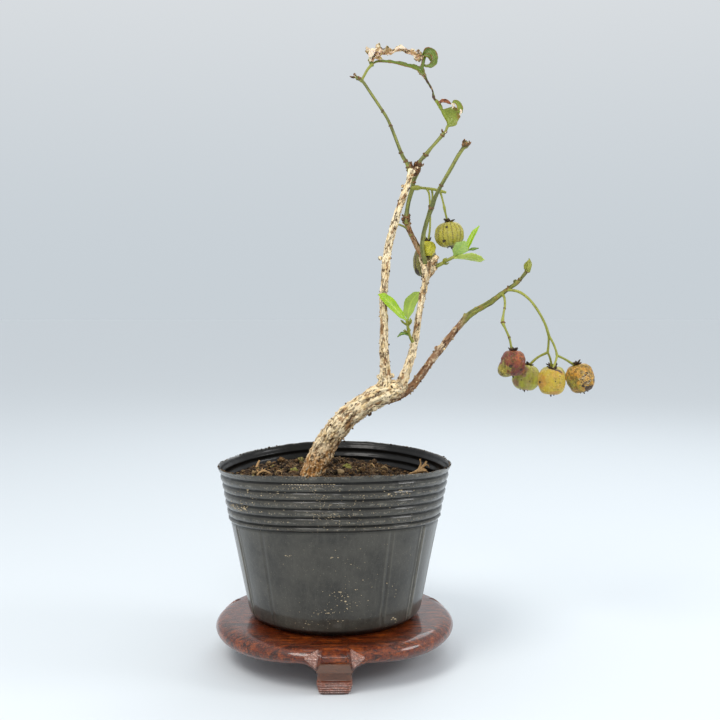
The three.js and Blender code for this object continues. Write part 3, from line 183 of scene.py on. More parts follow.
ROOT_ARCH = [
    (-31.6, 4.8, 68.8, 0.5), (-30.5, 5.2, 71, 0.5), (-28.4, 5.5, 72, 0.5), (-26, 5.4, 71, 0.5),
    (-24, 5, 68.8, 0.5),
]
ROOT_LEFT = [(-33.4, 19, 68.8, 0.6), (-32.8, 21, 71.4, 0.5), (-32, 22.6, 73.4, 0.4)]
ROOT_RIGHT = [
    [
        (29.5, 12.5, 66, 1), (32, 14.4, 68.8, 1.1), (34.4, 16.2, 70.4, 0.9), (36.6, 17.6, 72.4, 0.6),
        (37.4, 18.2, 73.7, 0.4),
    ],
    [(34, 16, 70.2, 0.6), (35, 18, 72.6, 0.35), (34.8, 19, 74.6, 0.25)],
    [(34.8, 16.2, 70.4, 0.7), (36.6, 15.6, 70.8, 0.35), (37.7, 15, 69.6, 0.25)],
    [(36, 17.2, 71.8, 0.5), (37.6, 17, 72.6, 0.3), (38.6, 16.8, 71.6, 0.22)],
    [(33, 15, 69.4, 0.7), (35.4, 16.2, 70, 0.45), (36, 16, 69, 0.3)],
]

# Capsules: middle, width, height, lean about Y and X and turn, what capsule says of the form, and patches of
# colour: right and up on the side that the viewer sees, as shares of the half width, then the reach as an
# angle, and the channel, which is 0 for blush, 1 for rot and 2 for pale
CAPSULES = {
    "fruit_red": dict(
        at=(69.8, -2.2, 115.8), wide=10.3, tall=10.9, turn=10, finish="capsule_red", blister=0.34,
        furrow=0.04, swelling=(-2.9, 0.6, -2.4, 3.5),
        patches=[
            (-0.8, -0.55, 1, 2), (0.55, 0.6, 0.6, 0), (-0.3, -0.15, 0.12, 1), (0, -0.76, 0.12, 1),
            (0.45, -0.45, 0.14, 1), (0.7, -0.6, 0.3, 0),
        ],
    ),
    "fruit_green": dict(
        at=(76.4, 6.6, 109.5), wide=11.1, tall=11.1, lean=(0.14, 0), turn=40, finish="capsule_green",
        patches=[
            (-0.85, -0.3, 0.4, 0), (-0.2, -0.9, 0.35, 0), (-0.4, 0.5, 0.45, 0), (-0.5, -0.1, 0.06, 1),
            (0.1, -0.2, 0.05, 1),
        ],
    ),
    "fruit_back": dict(
        at=(87.6, 10.4, 108.6), wide=11.1, tall=11.2, lean=(0, -0.05), turn=0, finish="capsule_olive",
        patches=[(0.55, 0.75, 0.4, 2)],
    ),
    "fruit_front": dict(
        at=(84.3, -5.7, 108.8), wide=11.4, tall=11, lean=(0.06, 0), turn=25, finish="capsule_yellow",
        patches=[
            (-0.8, 0, 0.55, 0), (0.1, -0.8, 0.4, 0), (0.4, 0.75, 0.5, 0), (0.15, 0.9, 0.25, 1),
            (0.4, 0.78, 0.22, 1), (0.43, 0.42, 0.08, 1), (0.46, -0.03, 0.05, 1), (0.22, -0.23, 0.045, 1),
            (0.09, 0.11, 0.05, 1), (0.8, -0.3, 0.05, 1), (0.3, -0.5, 0.045, 1), (-0.93, 0, 0.08, 1),
            (0.62, 0.2, 0.05, 1),
        ],
    ),
    "fruit_right": dict(
        at=(96.6, 0.8, 109.6), wide=11.2, tall=12.2, lean=(-0.28, 0), turn=55, finish="capsule_brown",
        blister=0.3, furrow=0.05,
        patches=[
            (-0.65, -0.45, 0.85, 0), (0.55, -0.65, 0.4, 1), (0.9, -0.1, 0.2, 1), (0.4, 0.1, 0.8, 2),
            (0.05, -0.5, 0.12, 1),
        ],
    ),
    "fruit_upper": dict(
        at=(45.2, 1, 165.9), wide=11.9, tall=10.9, lean=(-0.12, 0), turn=15, finish="capsule_olive",
        furrow=0.1, lobes=9, blunt=0.92,
        patches=[(-0.1, -0.97, 0.35, 1), (-0.5, -0.5, 0.18, 1), (-0.3, 0.5, 0.1, 1)],
    ),
    "fruit_small": dict(
        at=(36.4, -0.4, 160.4), wide=5.8, tall=6.4, lobes=4, turn=0, finish="capsule_lemon",
        slot="capsule_yellow",
    ),
    "fruit_olive": dict(
        at=(36.2, 10.8, 155.6), wide=10.2, tall=13, turn=30, finish="capsule_shade", slot="capsule_olive",
        furrow=0.1, patches=[(-0.6, -0.7, 0.25, 1)],
    ),
}

# Leaf blades: line of the midrib, half widths along it, the way the upper side looks, the bend of each half
# towards its edge in degrees, and what blade says of teeth, tears and crumples
LEAVES = {
    "leaf_middle_left": dict(
        line=[
            (28.1, -3.4, 132.5), (25.1, -4.9, 135.4), (21.6, -6.2, 139.1), (18.8, -7, 141.6),
            (17.1, -7.4, 142.7),
        ],
        half=[0.4, 1.9, 2.6, 1.9, 0.2], face=(0.25, -0.8, 0.5), bend=[20, 28, 15], finish="leaf_bright",
        teeth=0.06,
    ),
    "leaf_middle_right": dict(
        line=[
            (28.6, -2.9, 132.8), (29.1, 0.3, 136.1), (30.5, 3.8, 140), (32.4, 5.2, 142.3), (34.2, 5.8, 143.7),
        ],
        half=[0.4, 2.3, 3, 2.3, 0.2], face=(-0.3, -0.9, 0.1), bend=[10, 16, 10], finish="leaf_pale",
        teeth=0.05,
    ),
    "leaf_middle_small": dict(
        line=[(28.8, -2.4, 126.9), (26.7, -3.2, 127.5), (24.5, -4, 126.2)], half=[0.4, 1.1, 0.2],
        face=(0, -0.5, 0.85), finish="leaf_dark",
    ),
    "leaf_upper_long": dict(
        line=[
            (46.6, -2.6, 156.7), (49.5, -3.3, 157), (53.4, -3.8, 156.8), (56.4, -4.2, 156.1),
            (58.1, -4.4, 156),
        ],
        half=[0.4, 1.9, 2.9, 2.4, 0.2], face=(0.1, 0.5, 0.86), bend=[5, 12, 5], finish="leaf_lemon",
        slot="leaf_bright",
    ),
    "leaf_upper_broad": dict(
        line=[(46.4, -2.7, 157.6), (47.6, -4.5, 159.2), (49.1, -5.8, 160.9), (50.4, -6.6, 162.9)],
        half=[0.4, 2.3, 3, 0.7], face=(0.1, -0.95, -0.1), bend=[10, 14, 10], finish="leaf_sage",
        slot="leaf_pale",
    ),
    "leaf_upper_narrow": dict(
        line=[(51.8, -1.6, 160.2), (52.8, -1.1, 162.9), (54.6, -0.1, 166.4), (56.5, 0.9, 169.4)],
        half=[0.4, 1.5, 1.4, 0.2], face=(-0.6, -0.75, 0.3), bend=[40, 55, 40], finish="leaf_bright",
    ),
    "leaf_upper_small": dict(
        line=[(52.2, -1.9, 159.9), (53.9, -1.8, 160.2), (56.1, -1.6, 160.6)], half=[0.3, 0.9, 0.2],
        face=(0, -0.7, 0.7), finish="leaf_dark",
    ),
}
DRIED_RIBBON = dict(
    line=[
        (14.2, 2, 232.6), (15, 2.2, 234.6), (16.6, 2.5, 236.4), (19.4, 2.7, 236.6), (22.4, 3, 236.9),
        (25.9, 3.2, 237.8), (29.5, 3.5, 236.6), (32.4, 3.9, 235.2), (34.8, 4.6, 234.6),
    ],
    half=[0.8, 2.2, 3, 1.7, 1.1, 1.5, 1.6, 1.4, 0.7], face=(-0.2, -0.95, 0.2),
    roll=[0, 15, -15, 20, -20, 15, -20, 10, 0], bend=[20, 40, 20, 45, 20, 45, 25, 35, 20], teeth=0.08,
    torn=0.9, crumple=0.8, thick=0.25,
)
PAPER_FLAKES = [
    dict(
        line=[(14, 1.5, 232.6), (14, 0.8, 234.6), (15, 1, 236.6), (16.6, 1.4, 237.8)],
        half=[0.3, 0.9, 0.8, 0.2],
    ),
    dict(line=[(23.6, 2, 237.4), (25.4, 1.6, 238.3), (27.6, 2, 237.7)], half=[0.3, 0.8, 0.2]),
    dict(line=[(46.1, 5.2, 217.3), (46.7, 5, 216.4), (46, 5.4, 215.2)], half=[0.3, 0.6, 0.2]),
    dict(line=[(49.3, 4.2, 214.9), (49.5, 4, 213.7), (48.9, 4.1, 212.6)], half=[0.2, 0.45, 0.2]),
]
TOP_BRACT = dict(line=[(15.2, 2, 230.9), (14.3, 1.9, 232.1), (13.2, 1.8, 233.6)], half=[0.3, 0.8, 0.15])
GREEN_STRIP = dict(
    line=[
        (14.5, 2, 231.6), (16.6, 2.4, 232.8), (20.9, 2.8, 232.9), (24.8, 3.2, 232.4), (28.7, 3.8, 231.6),
        (31.8, 4.3, 230.9), (33.6, 4.7, 229.8), (35, 5.2, 228.2),
    ],
    half=[0.4, 0.4, 0.7, 0.85, 0.9, 1.4, 1.6, 0.8], face=(0.1, -0.9, 0.4), bend=[10, 30, 10], teeth=0.08,
    torn=0.35, crumple=0.2,
)
CURLED_END = dict(
    line=[
        (33.6, 4.8, 229.8), (34.4, 4.9, 232.2), (34.8, 5, 234.4), (35.2, 5, 236.2), (36.5, 5, 237.5),
        (38.1, 5, 236.9), (38.9, 5, 235.2), (38.9, 5, 233.4), (37.8, 5, 231.9), (36.2, 5, 231.6),
        (34.9, 5, 232.2),
    ],
    half=[1, 0.8, 0.8, 1.2, 1.5, 1.6, 1.6, 1.5, 1.1, 0.8, 0.5], face=(0, -1, 0),
    roll=[0, 20, 40, 20, 10, -15, -25, -20, 10, 30, 30], bend=[20, 40, 20], crumple=0.3, teeth=0.04,
    torn=0.15,
)
CURLED_BAR = dict(
    line=[(35, 4.6, 235.9), (36.6, 4.4, 235.4), (37.6, 4.6, 234.2), (38.3, 4.8, 233)],
    half=[0.6, 1, 0.9, 0.4], face=(0.2, -1, 0.3), bend=[40, 60, 30], crumple=0.35,
)
CUP_LEAF = dict(
    line=[
        (44.8, 6.9, 208.4), (44.9, 6.9, 209.4), (44.6, 7, 210.6), (43.9, 7.1, 212), (43, 7.1, 213.6),
        (42, 7, 215.2),
    ],
    left=[0.4, 0.7, 0.8, 0.9, 0.8, 0.5], half=[0.5, 3.4, 5.6, 6.5, 5.4, 0.5], face=(0.2, -1, 0.1),
    bend=[15, 40, 55, 55, 50, 30], teeth=0.04, crumple=0.25,
)
CUP_HORN = dict(
    line=[(49, 4.6, 213.6), (49.1, 4.5, 215.4), (48.4, 4.6, 217), (47, 4.9, 217.9), (46, 5.3, 217.3)],
    half=[1.2, 1.3, 1.1, 0.7, 0.2], face=(0, -1, 0), bend=[20, 40, 50, 50, 20], teeth=0.1, crumple=0.2,
)
CUP_STRIP = dict(
    line=[(39.2, 6.9, 219.4), (40.2, 7, 218.3), (41.4, 7, 216.6), (42.2, 7, 215)], half=[0.4, 0.8, 0.9, 0.7],
    face=(0.2, -1, 0.1), bend=[20, 40, 20], teeth=0.15, crumple=0.15,
)
RUST_CURL = dict(
    line=[(40.9, 6, 217.8), (42.4, 5.8, 218.2), (44, 5.7, 218), (45.7, 5.6, 217.2)], half=[0.5, 1, 1, 0.3],
    face=(0.1, -0.8, 0.6), bend=[50, 80, 60], crumple=0.2, thick=0.4,
)

# A leg of the stand: height, outer radius and half width, from the foot up
LEG_LEVELS = np.array([
    (0, 44.6, 5.1), (0.7, 45.4, 5.7), (3.9, 45.8, 6.5), (4.8, 44.4, 6.3), (6.6, 43.9, 6.2), (8.2, 44.3, 6.4),
    (9.4, 44.6, 6.2),
])
LEG_ANGLES = (-88.8, 31.2, 151.2)

# Carved blocks of a leg along X, by their corners: KNEE and CHEVRON reach across both sides of the leg, and
# FACET is cut on each side by itself
KNEE = [
    (43.6, 6.3, 9.0), (47.7, 4.9, 12.1), (47.2, 5.0, 14.4), (44.5, 5.0, 16.4), (39.0, 6.2, 8.6),
    (39.0, 5.0, 16.4),
]
CHEVRON = [(46.4, 6.7, 8.3), (47.9, 5.2, 11.9), (44.0, 5.2, 12.4), (43.0, 6.7, 8.3)]
FACET = [
    (44.6, 5.7, 16.35), (47.3, 5.9, 13.9), (46.9, 6.6, 9.9), (46.1, 11.1, 13.7), (43.5, 10.8, 13.6),
    (42.0, 8.0, 10.0), (42.0, 5.4, 16.2), (40.0, 5.4, 9.4),
]

# Stand: levels of its top and under-edge, how far its rounded edge goes in, and how far apart the ridges of a
# foot are
STAND_TOP = 16.5
STAND_UNDER = 8.5
STAND_EDGE = 6
FOOT_RIDGE_PITCH = 0.85

# Pot: heights count from its foot, and its wall is a cone that widens by POT_TAPER for each millimetre
POT_FOOT = STAND_TOP + 0.3
POT_FOOT_RADIUS = 33.4
POT_TAPER = 0.196
POT_GROOVES = (38.4, 40.3, 43.6, 46.9, 50.1, 53.2, 56.5)
POT_LIP = 58.6
POT_PANELS = 15
FIRST_CREASE = math.radians(14)
CREASE_SHARES = np.array([0.8, 0.5, 0.7, 0.4, 0.6, 0.8, 0.5, 0.7, 1.25, 0.4, 0.08, 0.15, 0.6, 1.4, 0.8])

# Soil: its level, where the trunk leaves it, how far inside the pot's outer cone the loose crumbs end, the
# middles of the moss, the green lump and the pebble, and the straws that stand out of it
SOIL_LEVEL = 69.8
TRUNK_FOOT = (-9.4, 4.0)
CRUMBS_INSIDE = 3.2672
MOSS = np.array([4.6, 20.0, 70.6])
GREEN_LUMP = (-16.7, 10.0, 71.2)
PEBBLE = (1.9, 8.0, 71.2)
STRAWS = [
    [(13.0, 39.0, 71.5, 0.35), (14.3, 39.8, 74.5, 0.3), (15.6, 40.3, 77.0, 0.25)],
    [(22.5, 33.5, 69.5, 0.3), (22.8, 34.8, 72.0, 0.3), (22.9, 35.6, 75.0, 0.2)],
    [(30.0, 15.0, 69.0, 0.5), (33.0, 12.0, 70.6, 0.45), (37.0, 10.0, 71.4, 0.3)],
    [(38.6, 13.0, 69.6, 0.25), (39.6, 13.6, 71.4, 0.25), (40.6, 14.2, 72.2, 0.2)],
]

# Wood: the stems under one skin, a lump that hangs below the trunk, and the sawn end of the stub
WOOD = [TRUNK, LEFT_BRANCH, MIDDLE_BRANCH, MIDDLE_LEFT_ARM, MIDDLE_RIGHT_ARM, CUT_STUB, RIGHT_BRANCH]
LEFT, MIDDLE, RIGHT = (WOOD.index(rows) for rows in (LEFT_BRANCH, MIDDLE_BRANCH, RIGHT_BRANCH))
LUMP_UNDER_TRUNK = (14.4, 0.6, 95.0)
SAWN_END = (39.6, -1.62, 156.85)

# Rings with small scales: a stem, the shares of its length where they stand, and a seed
TWIG_NODES = [
    (TWIG_TOP_LEFT, (0.05, 0.14, 0.27, 0.41, 0.51, 0.9), 51),
    (TWIG_TOP_RIGHT, (0.28, 0.33, 0.55, 0.81, 0.98), 61),
    (TWIG_LONG, (0.46, 0.62, 0.93), 71),
    (LEFT_STALKS[0], (0.28, 0.5, 0.75), 81),
    (RIGHT_BRANCH, (0.8, 0.9, 1.0), 91),
]

# Bud scales and bracts: middle, direction, number, length, half width, seed, how far they lean out, and how
# far from the middle they start
BUD_SCALES = [
    ((28.2, 3.0, 171.2), (-0.1, 0, 1), 6, 1.6, 0.7, 1, 0.4, 0.9),
    ((31.2, -2.2, 191.6), (0.1, 0, 1), 10, 1.7, 0.7, 2, 0.5, 1.5),
    ((31.0, -3.2, 189.0), (-0.1, 0, 1), 10, 1.7, 0.7, 11, 0.6, 1.6),
    ((33.0, 1.4, 192.4), (0.3, -0.1, 1), 6, 1.5, 0.6, 3, 0.4, 1.0),
    ((50.3, -9.2, 199.4), (0.2, 0, 1), 6, 1.3, 0.5, 4, 0.7, 0.7),
    ((8.4, 1.0, 226.6), (-0.9, 0, 0.6), 5, 1.5, 0.45, 5, 0.5, 0.4),
    ((43.0, 5.7, 205.6), (0.2, 0, 1), 4, 1.2, 0.45, 6, 0.6, 0.5),
]
SHOOT_BRACTS = [
    ((28.5, -2.9, 130.4), (-0.2, 0, 1), 5, 2.0, 0.6, 9, 0.8, 0.4),
    ((29.0, -2.2, 127.6), (-0.2, 0, 1), 4, 1.8, 0.5, 12, 0.9, 0.4),
    ((42.0, -1.2, 154.6), (1, -0.2, 0.6), 4, 2.0, 0.5, 10, 0.8, 0.4),
]
# The ball inside the scales at the tip: its middle and radius.
TIP_BUD = ((31.0, -2.6, 190.2), 1.9)
# The pointed bud that ends the right branch, as a stem.
POINTED_BUD = [
    (75.8, 4.0, 151.6, 0.7), (76.1, 3.95, 152.9, 1.2), (76.5, 3.85, 154.5, 1.05), (76.7, 3.8, 156.2, 0.3),
]
# The scales round it, with the values that scales() takes.
POINTED_SCALES = ((75.9, 4.0, 152.1), (0.18, -0.03, 1), 6, 3.8, 0.85, 7, -0.22, 1.0)


# Numbers


HASH_FACTORS = np.array([73856093, 19349663, 83492791])


def noise(place, seed=0):
    """Value noise from -1 to 1: a random value at each whole-number point, blended between the eight points
    round a place with weights 3t^2 - 2t^3."""
    base = np.floor(place).astype(np.int64)
    part = place - base
    soft = part * part * (3 - 2 * part)
    total = 0
    for corner in product((0, 1), repeat=3):
        mixed = np.bitwise_xor.reduce((base + corner) * HASH_FACTORS, axis=-1) ^ (seed * 97531)
        mixed = (mixed ^ (mixed >> 13)) * 1274126177 & 0x7FFFFFFF
        value = ((mixed ^ (mixed >> 15)) & 0xFFFF) / 32767.5 - 1
        total = total + value * np.prod(np.where(corner, soft, 1 - soft), axis=-1)
    return total


def rough(place, octaves=3, seed=0):
    """Noise summed over octaves, each at twice the frequency and half the height of the one before."""
    return sum(noise(place * 2**i, seed + i) / 2**i for i in range(octaves))


def read_list(values, share):
    """A short list read smoothly at shares from 0 to 1 of its length, with weights 3t^2 - 2t^3."""
    values = np.asarray(values, float)
    at = np.asarray(share, float) * (len(values) - 1)
    row = np.clip(at.astype(int), 0, len(values) - 2)
    part = at - row
    soft = part * part * (3 - 2 * part)
    return values[row] * (1 - soft) + values[row + 1] * soft


def smooth_step(value, low, high):
    """0 below low, 1 above high and 3t^2 - 2t^3 between."""
    t = np.clip((value - low) / (high - low), 0, 1)
    return t * t * (3 - 2 * t)


def unit(vectors):
    """The vectors at length 1."""
    return vectors / np.linalg.norm(vectors, axis=-1, keepdims=True)


# Surfaces


class Surface:
    """Points, faces of four and three corners, and marks: values at each point that a finish reads."""

    def __init__(self, points, quads, tris=None, **marks):
        self.points = np.asarray(points, float).reshape(-1, 3)
        self.quads = np.asarray(quads, int).reshape(-1, 4)
        self.tris = np.zeros((0, 3), int) if tris is None else np.asarray(tris, int).reshape(-1, 3)
        self.marks = {name: np.asarray(mark, float).reshape(-1, 3) for name, mark in marks.items()}

    def outwards(self):
        """Turns the faces over where they enclose a negative volume."""
        p = self.points - self.points.mean(0)
        corners = [self.tris, self.quads[:, :3], self.quads[:, [0, 2, 3]]]
        volume = sum(np.sum(p[c[:, 0]] * np.cross(p[c[:, 1]], p[c[:, 2]])) for c in corners)
        if volume < 0:
            self.quads = self.quads[:, ::-1]
            self.tris = self.tris[:, ::-1]
        return self

    def normals(self):
        """At each point, the sum of the cross products of the diagonals of the faces round it."""
        p = self.points
        total = np.zeros_like(p)
        across = np.cross(
            p[self.quads[:, 2]] - p[self.quads[:, 0]], p[self.quads[:, 3]] - p[self.quads[:, 1]]
        )
        for k in range(4):
            np.add.at(total, self.quads[:, k], across)
        across = np.cross(p[self.tris[:, 1]] - p[self.tris[:, 0]], p[self.tris[:, 2]] - p[self.tris[:, 0]])
        for k in range(3):
            np.add.at(total, self.tris[:, k], across)
        return total / np.maximum(np.linalg.norm(total, axis=1, keepdims=True), 1e-12)


def joined(surfaces):
    """Several surfaces as one, where a mark that one of them lacks is zero there."""
    names = {name for surface in surfaces for name in surface.marks}
    starts = np.cumsum([0] + [len(s.points) for s in surfaces])
    marks = {
        name: np.concatenate([s.marks.get(name, np.zeros_like(s.points)) for s in surfaces]) for name in names
    }
    return Surface(
        np.concatenate([s.points for s in surfaces]),
        np.concatenate([s.quads + start for s, start in zip(surfaces, starts)]),
        np.concatenate([s.tris + start for s, start in zip(surfaces, starts)]),
        **marks,
    )


def ring_faces(rings, sides):
    """Quads from each ring to the next, and triangles from the two end rings to a pole each."""
    k = np.arange(sides)
    after = (k + 1) % sides
    row = np.arange(rings - 1)[:, None] * sides
    quads = np.stack([row + k, row + after, row + after + sides, row + k + sides], -1).reshape(-1, 4)
    pole = np.full(sides, rings * sides)
    last = (rings - 1) * sides
    tris = np.concatenate([np.stack([pole, after, k], -1), np.stack([pole + 1, last + k, last + after], -1)])
    return quads, tris


def lathe(rings, poles, **marks):
    """A closed surface from rings of points, one row each, and the two points that close its ends."""
    count, sides = rings.shape[:2]
    points = np.concatenate([rings.reshape(-1, 3), np.asarray(poles, float)])
    quads, tris = ring_faces(count, sides)
    whole = {}
    for name, mark in marks.items():
        ends = [mark[0].mean(0), mark[-1].mean(0)]
        whole[name] = np.concatenate([mark.reshape(-1, 3), ends])
    return Surface(points, quads, tris, **whole).outwards()


def smooth_line(rows, per_row):
    """Points on a smooth curve through rows: between two rows it is the cubic with centripetal Catmull-Rom
    slopes, where a span counts as the square root of its length, and a ghost row mirrors each end."""
    rows = np.asarray(rows, float)
    ends = np.concatenate([[2 * rows[0] - rows[1]], rows, [2 * rows[-1] - rows[-2]]])
    spans = np.sqrt(np.linalg.norm(np.diff(ends[:, :3], axis=0), axis=1))
    share = np.linspace(0, len(rows) - 1, (len(rows) - 1) * per_row + 1)
    row = np.minimum(share.astype(int), len(rows) - 2)
    t = (share - row)[:, None]
    p0, p1, p2, p3 = (ends[row + k] for k in range(4))
    d0, d1, d2 = (spans[row + k][:, None] for k in range(3))
    slope1 = ((p1 - p0) / d0 - (p2 - p0) / (d0 + d1) + (p2 - p1) / d1) * d1
    slope2 = ((p2 - p1) / d1 - (p3 - p1) / (d1 + d2) + (p3 - p2) / d2) * d1
    square, cube = 3 * (p2 - p1) - 2 * slope1 - slope2, 2 * (p1 - p2) + slope1 + slope2
    return p1 + slope1 * t + square * t**2 + cube * t**3


def carried_frames(points, first):
    """The direction along a line, and one across it that starts near first and is carried along without
    twisting: at each point, what lies along the line is taken out of it."""
    along = unit(np.gradient(points, axis=0))
    across = np.empty_like(along)
    side = np.asarray(first, float)
    for i, direction in enumerate(along):
        side = unit(side - direction * (side @ direction))
        across[i] = side
    return along, across


def stem(rows, sides=14, per_row=6, knobbly=0.05, ribs=0.0, seed=1):
    """A closed round stem: rings about a smooth line at its radius, moved out by noise of the unrolled place,
    (r cos a, r sin a, s), and by ribs * cos 4a, with both ends rounded off as flat quarter ellipses."""
    line = smooth_line(rows, per_row)
    centre, radius = line[:, :3], np.maximum(line[:, 3], 0.15)
    along, across = carried_frames(centre, (0.3, -1, 0.2))
    cap = np.radians([75, 50, 25])
    grow = np.concatenate([radius[0] * np.cos(cap), radius, radius[-1] * np.cos(cap[::-1])])
    shift = np.concatenate([-radius[0] * np.sin(cap), 0 * radius, radius[-1] * np.sin(cap[::-1])]) * 0.6
    pick = np.concatenate([[0] * 3, np.arange(len(centre)), [-1] * 3])
    middle = centre[pick] + along[pick] * shift[:, None]
    length = np.concatenate([[0], np.cumsum(np.linalg.norm(np.diff(middle, axis=0), axis=1))])
    turn = np.linspace(0, 2 * np.pi, sides, endpoint=False)
    cos, sin = np.cos(turn), np.sin(turn)
    reach = grow[:, None] * np.ones(sides)
    place = np.stack([reach * cos, reach * sin, length[:, None] + 0 * reach], -1)
    reach = reach + knobbly * rough(place * 0.9 + seed * 17.3, 2, seed) * reach**0.5
    reach = reach + ribs * np.cos(4 * turn)
    other = np.cross(along, across)[pick]
    rings = middle[:, None] + reach[..., None] * (
        across[pick][:, None] * cos[:, None] + other[:, None] * sin[:, None]
    )
    ends = [middle[0] - along[0] * radius[0] * 0.02, middle[-1] + along[-1] * radius[-1] * 0.02]
    return lathe(rings, ends, place=place + [0, 0, seed * 40])


def ball(at, radius, sides=8, rings=5, squash=(1, 1, 1), lumpy=0.2, seed=0, tone=0.5):
    """A lumpy closed ball: the radius grows by noise of the direction."""
    down = np.pi * np.arange(1, rings + 1)[:, None] / (rings + 1)
    turn = 2 * np.pi * np.arange(sides) / sides
    way = np.stack([np.sin(down) * np.cos(turn), np.sin(down) * np.sin(turn), np.cos(down) + 0 * turn], -1)
    reach = radius * (1 + lumpy * noise(way * 1.7 + seed * 3.1, seed))
    points = way * reach[..., None] * squash + at
    poles = [np.add(at, (0, 0, radius * squash[2])), np.add(at, (0, 0, -radius * squash[2]))]
    mark = np.full(points.shape, tone)
    return lathe(points, poles, tone=mark, place=points - at)


def blade(spec, steps, across):
    """A leaf blade, two faces and the rim between them. Along the midrib's smooth line a half of width w
    bends up through an angle b as an arc of a circle: out = w/b sin(b|s|), up = w/b (1 - cos(b|s|)), for s
    from -1 to 1 across. Its teeth cut the edge as a saw of the length and tears as noise of it. Veins, a
    groove along the midrib and crumples, which are noise of the flat place, raise both faces."""
    half = spec["half"]
    per_row = max(2, round(steps / (len(spec["line"]) - 1)))
    centre = smooth_line(spec["line"], per_row)
    steps = len(centre) - 1
    u = np.linspace(0, 1, steps + 1)
    along, up = carried_frames(centre, spec["face"])
    roll = np.radians(read_list(spec.get("roll", (0, 0)), u))[:, None]
    normal = up * np.cos(roll) + np.cross(along, up) * np.sin(roll)
    side = np.cross(along, normal)
    bend = np.radians(read_list(spec.get("bend", (0, 0)), u))[:, None] + 1e-4
    length = np.linalg.norm(np.diff(centre, axis=0), axis=1).sum()
    s = np.linspace(-1, 1, across + 1)
    wide = np.where(s < 0, read_list(spec.get("left", half), u)[:, None], read_list(half, u)[:, None])
    saw = (u * length / spec.get("pitch", 1.3)) % 1.0
    torn = spec.get("torn", 0.0) * rough(
        np.stack([u * length * 0.7, 5 * np.sign(s[:1]) + 0 * u, 0 * u], -1), 3, 9
    )
    wide = wide * (1 - (spec.get("teeth", 0.12) * saw - torn)[:, None] * np.abs(s) ** 5)
    turn = bend * np.abs(s)
    sign = np.sign(s)
    out = wide / bend * np.sin(turn) * sign
    lift = wide / bend * (1 - np.cos(turn))
    flat = np.stack([wide * s, 0 * wide, u[:, None] * length + 0 * wide], -1)
    lift = lift + spec.get("crumple", 0.03) * rough(flat * 0.55 + length, 3, 5)
    vein = np.abs(((flat[..., 2] - np.abs(flat[..., 0]) * 0.8) / 1.5) % 1.0 - 0.5) * 2
    rib = np.exp(-((flat[..., 0] / 0.3) ** 2))
    lift = lift + 0.1 * (vein - 0.5) * smooth_step(np.abs(s), 0, 0.3) * (1 - np.abs(s)) - 0.12 * rib
    local = normal[:, None] * np.cos(turn)[..., None] - side[:, None] * (np.sin(turn) * sign)[..., None]
    middle = centre[:, None] + side[:, None] * out[..., None] + normal[:, None] * lift[..., None]
    thick = spec.get("thick", 0.34) * (1 - 0.6 * np.abs(s) ** 4) + 0.25 * rib * (1 - u[:, None]) ** 0.5
    upper = middle + local * (0.35 * thick)[..., None]
    lower = middle - local * (0.65 * thick)[..., None]
    mark = np.stack([1 - np.abs(s) + 0 * wide, u[:, None] + 0 * wide, vein], -1)
    return two_sided(upper, lower, leaf=mark, place=flat + length)


def two_sided(upper, lower, **marks):
    """Two grids of the same size, closed by a rim of quads along their four edges."""
    rows, width = upper.shape[:2]
    index = np.arange(rows * width).reshape(rows, width)
    shift = rows * width
    top = np.stack([index[:-1, :-1], index[:-1, 1:], index[1:, 1:], index[1:, :-1]], -1).reshape(-1, 4)
    edge = np.concatenate([index[0, :-1], index[:-1, -1], index[-1, :0:-1], index[:0:-1, 0]])
    after = np.roll(edge, -1)
    rim = np.stack([after, edge, edge + shift, after + shift], -1)
    quads = np.concatenate([top, top[:, ::-1] + shift, rim])
    points = np.concatenate([upper.reshape(-1, 3), lower.reshape(-1, 3)])
    both = {name: np.concatenate([mark.reshape(-1, 3)] * 2) for name, mark in marks.items()}
    return Surface(points, quads, **both).outwards()


def fused(surface, voxel):
    """One skin round surfaces that run into each other, by Blender's voxel remesh."""
    source = mesh_object("fuse_source", surface, np.zeros(3), 1.0)
    modifier = source.modifiers.new("fuse", "REMESH")
    modifier.mode = "VOXEL"
    modifier.voxel_size = voxel
    bpy.context.view_layer.update()
    mesh = bpy.data.meshes.new_from_object(source.evaluated_get(bpy.context.evaluated_depsgraph_get()))
    points = np.empty(len(mesh.vertices) * 3)
    mesh.vertices.foreach_get("co", points)
    corners = np.empty(len(mesh.loops), np.int32)
    mesh.loops.foreach_get("vertex_index", corners)
    totals = np.empty(len(mesh.polygons), np.int32)
    mesh.polygons.foreach_get("loop_total", totals)
    starts = np.cumsum(np.concatenate([[0], totals[:-1]]))
    quads = corners[starts[totals == 4][:, None] + np.arange(4)]
    tris = corners[starts[totals == 3][:, None] + np.arange(3)]
    bpy.data.objects.remove(source)
    return Surface(points, quads, tris).outwards()


# Blender objects


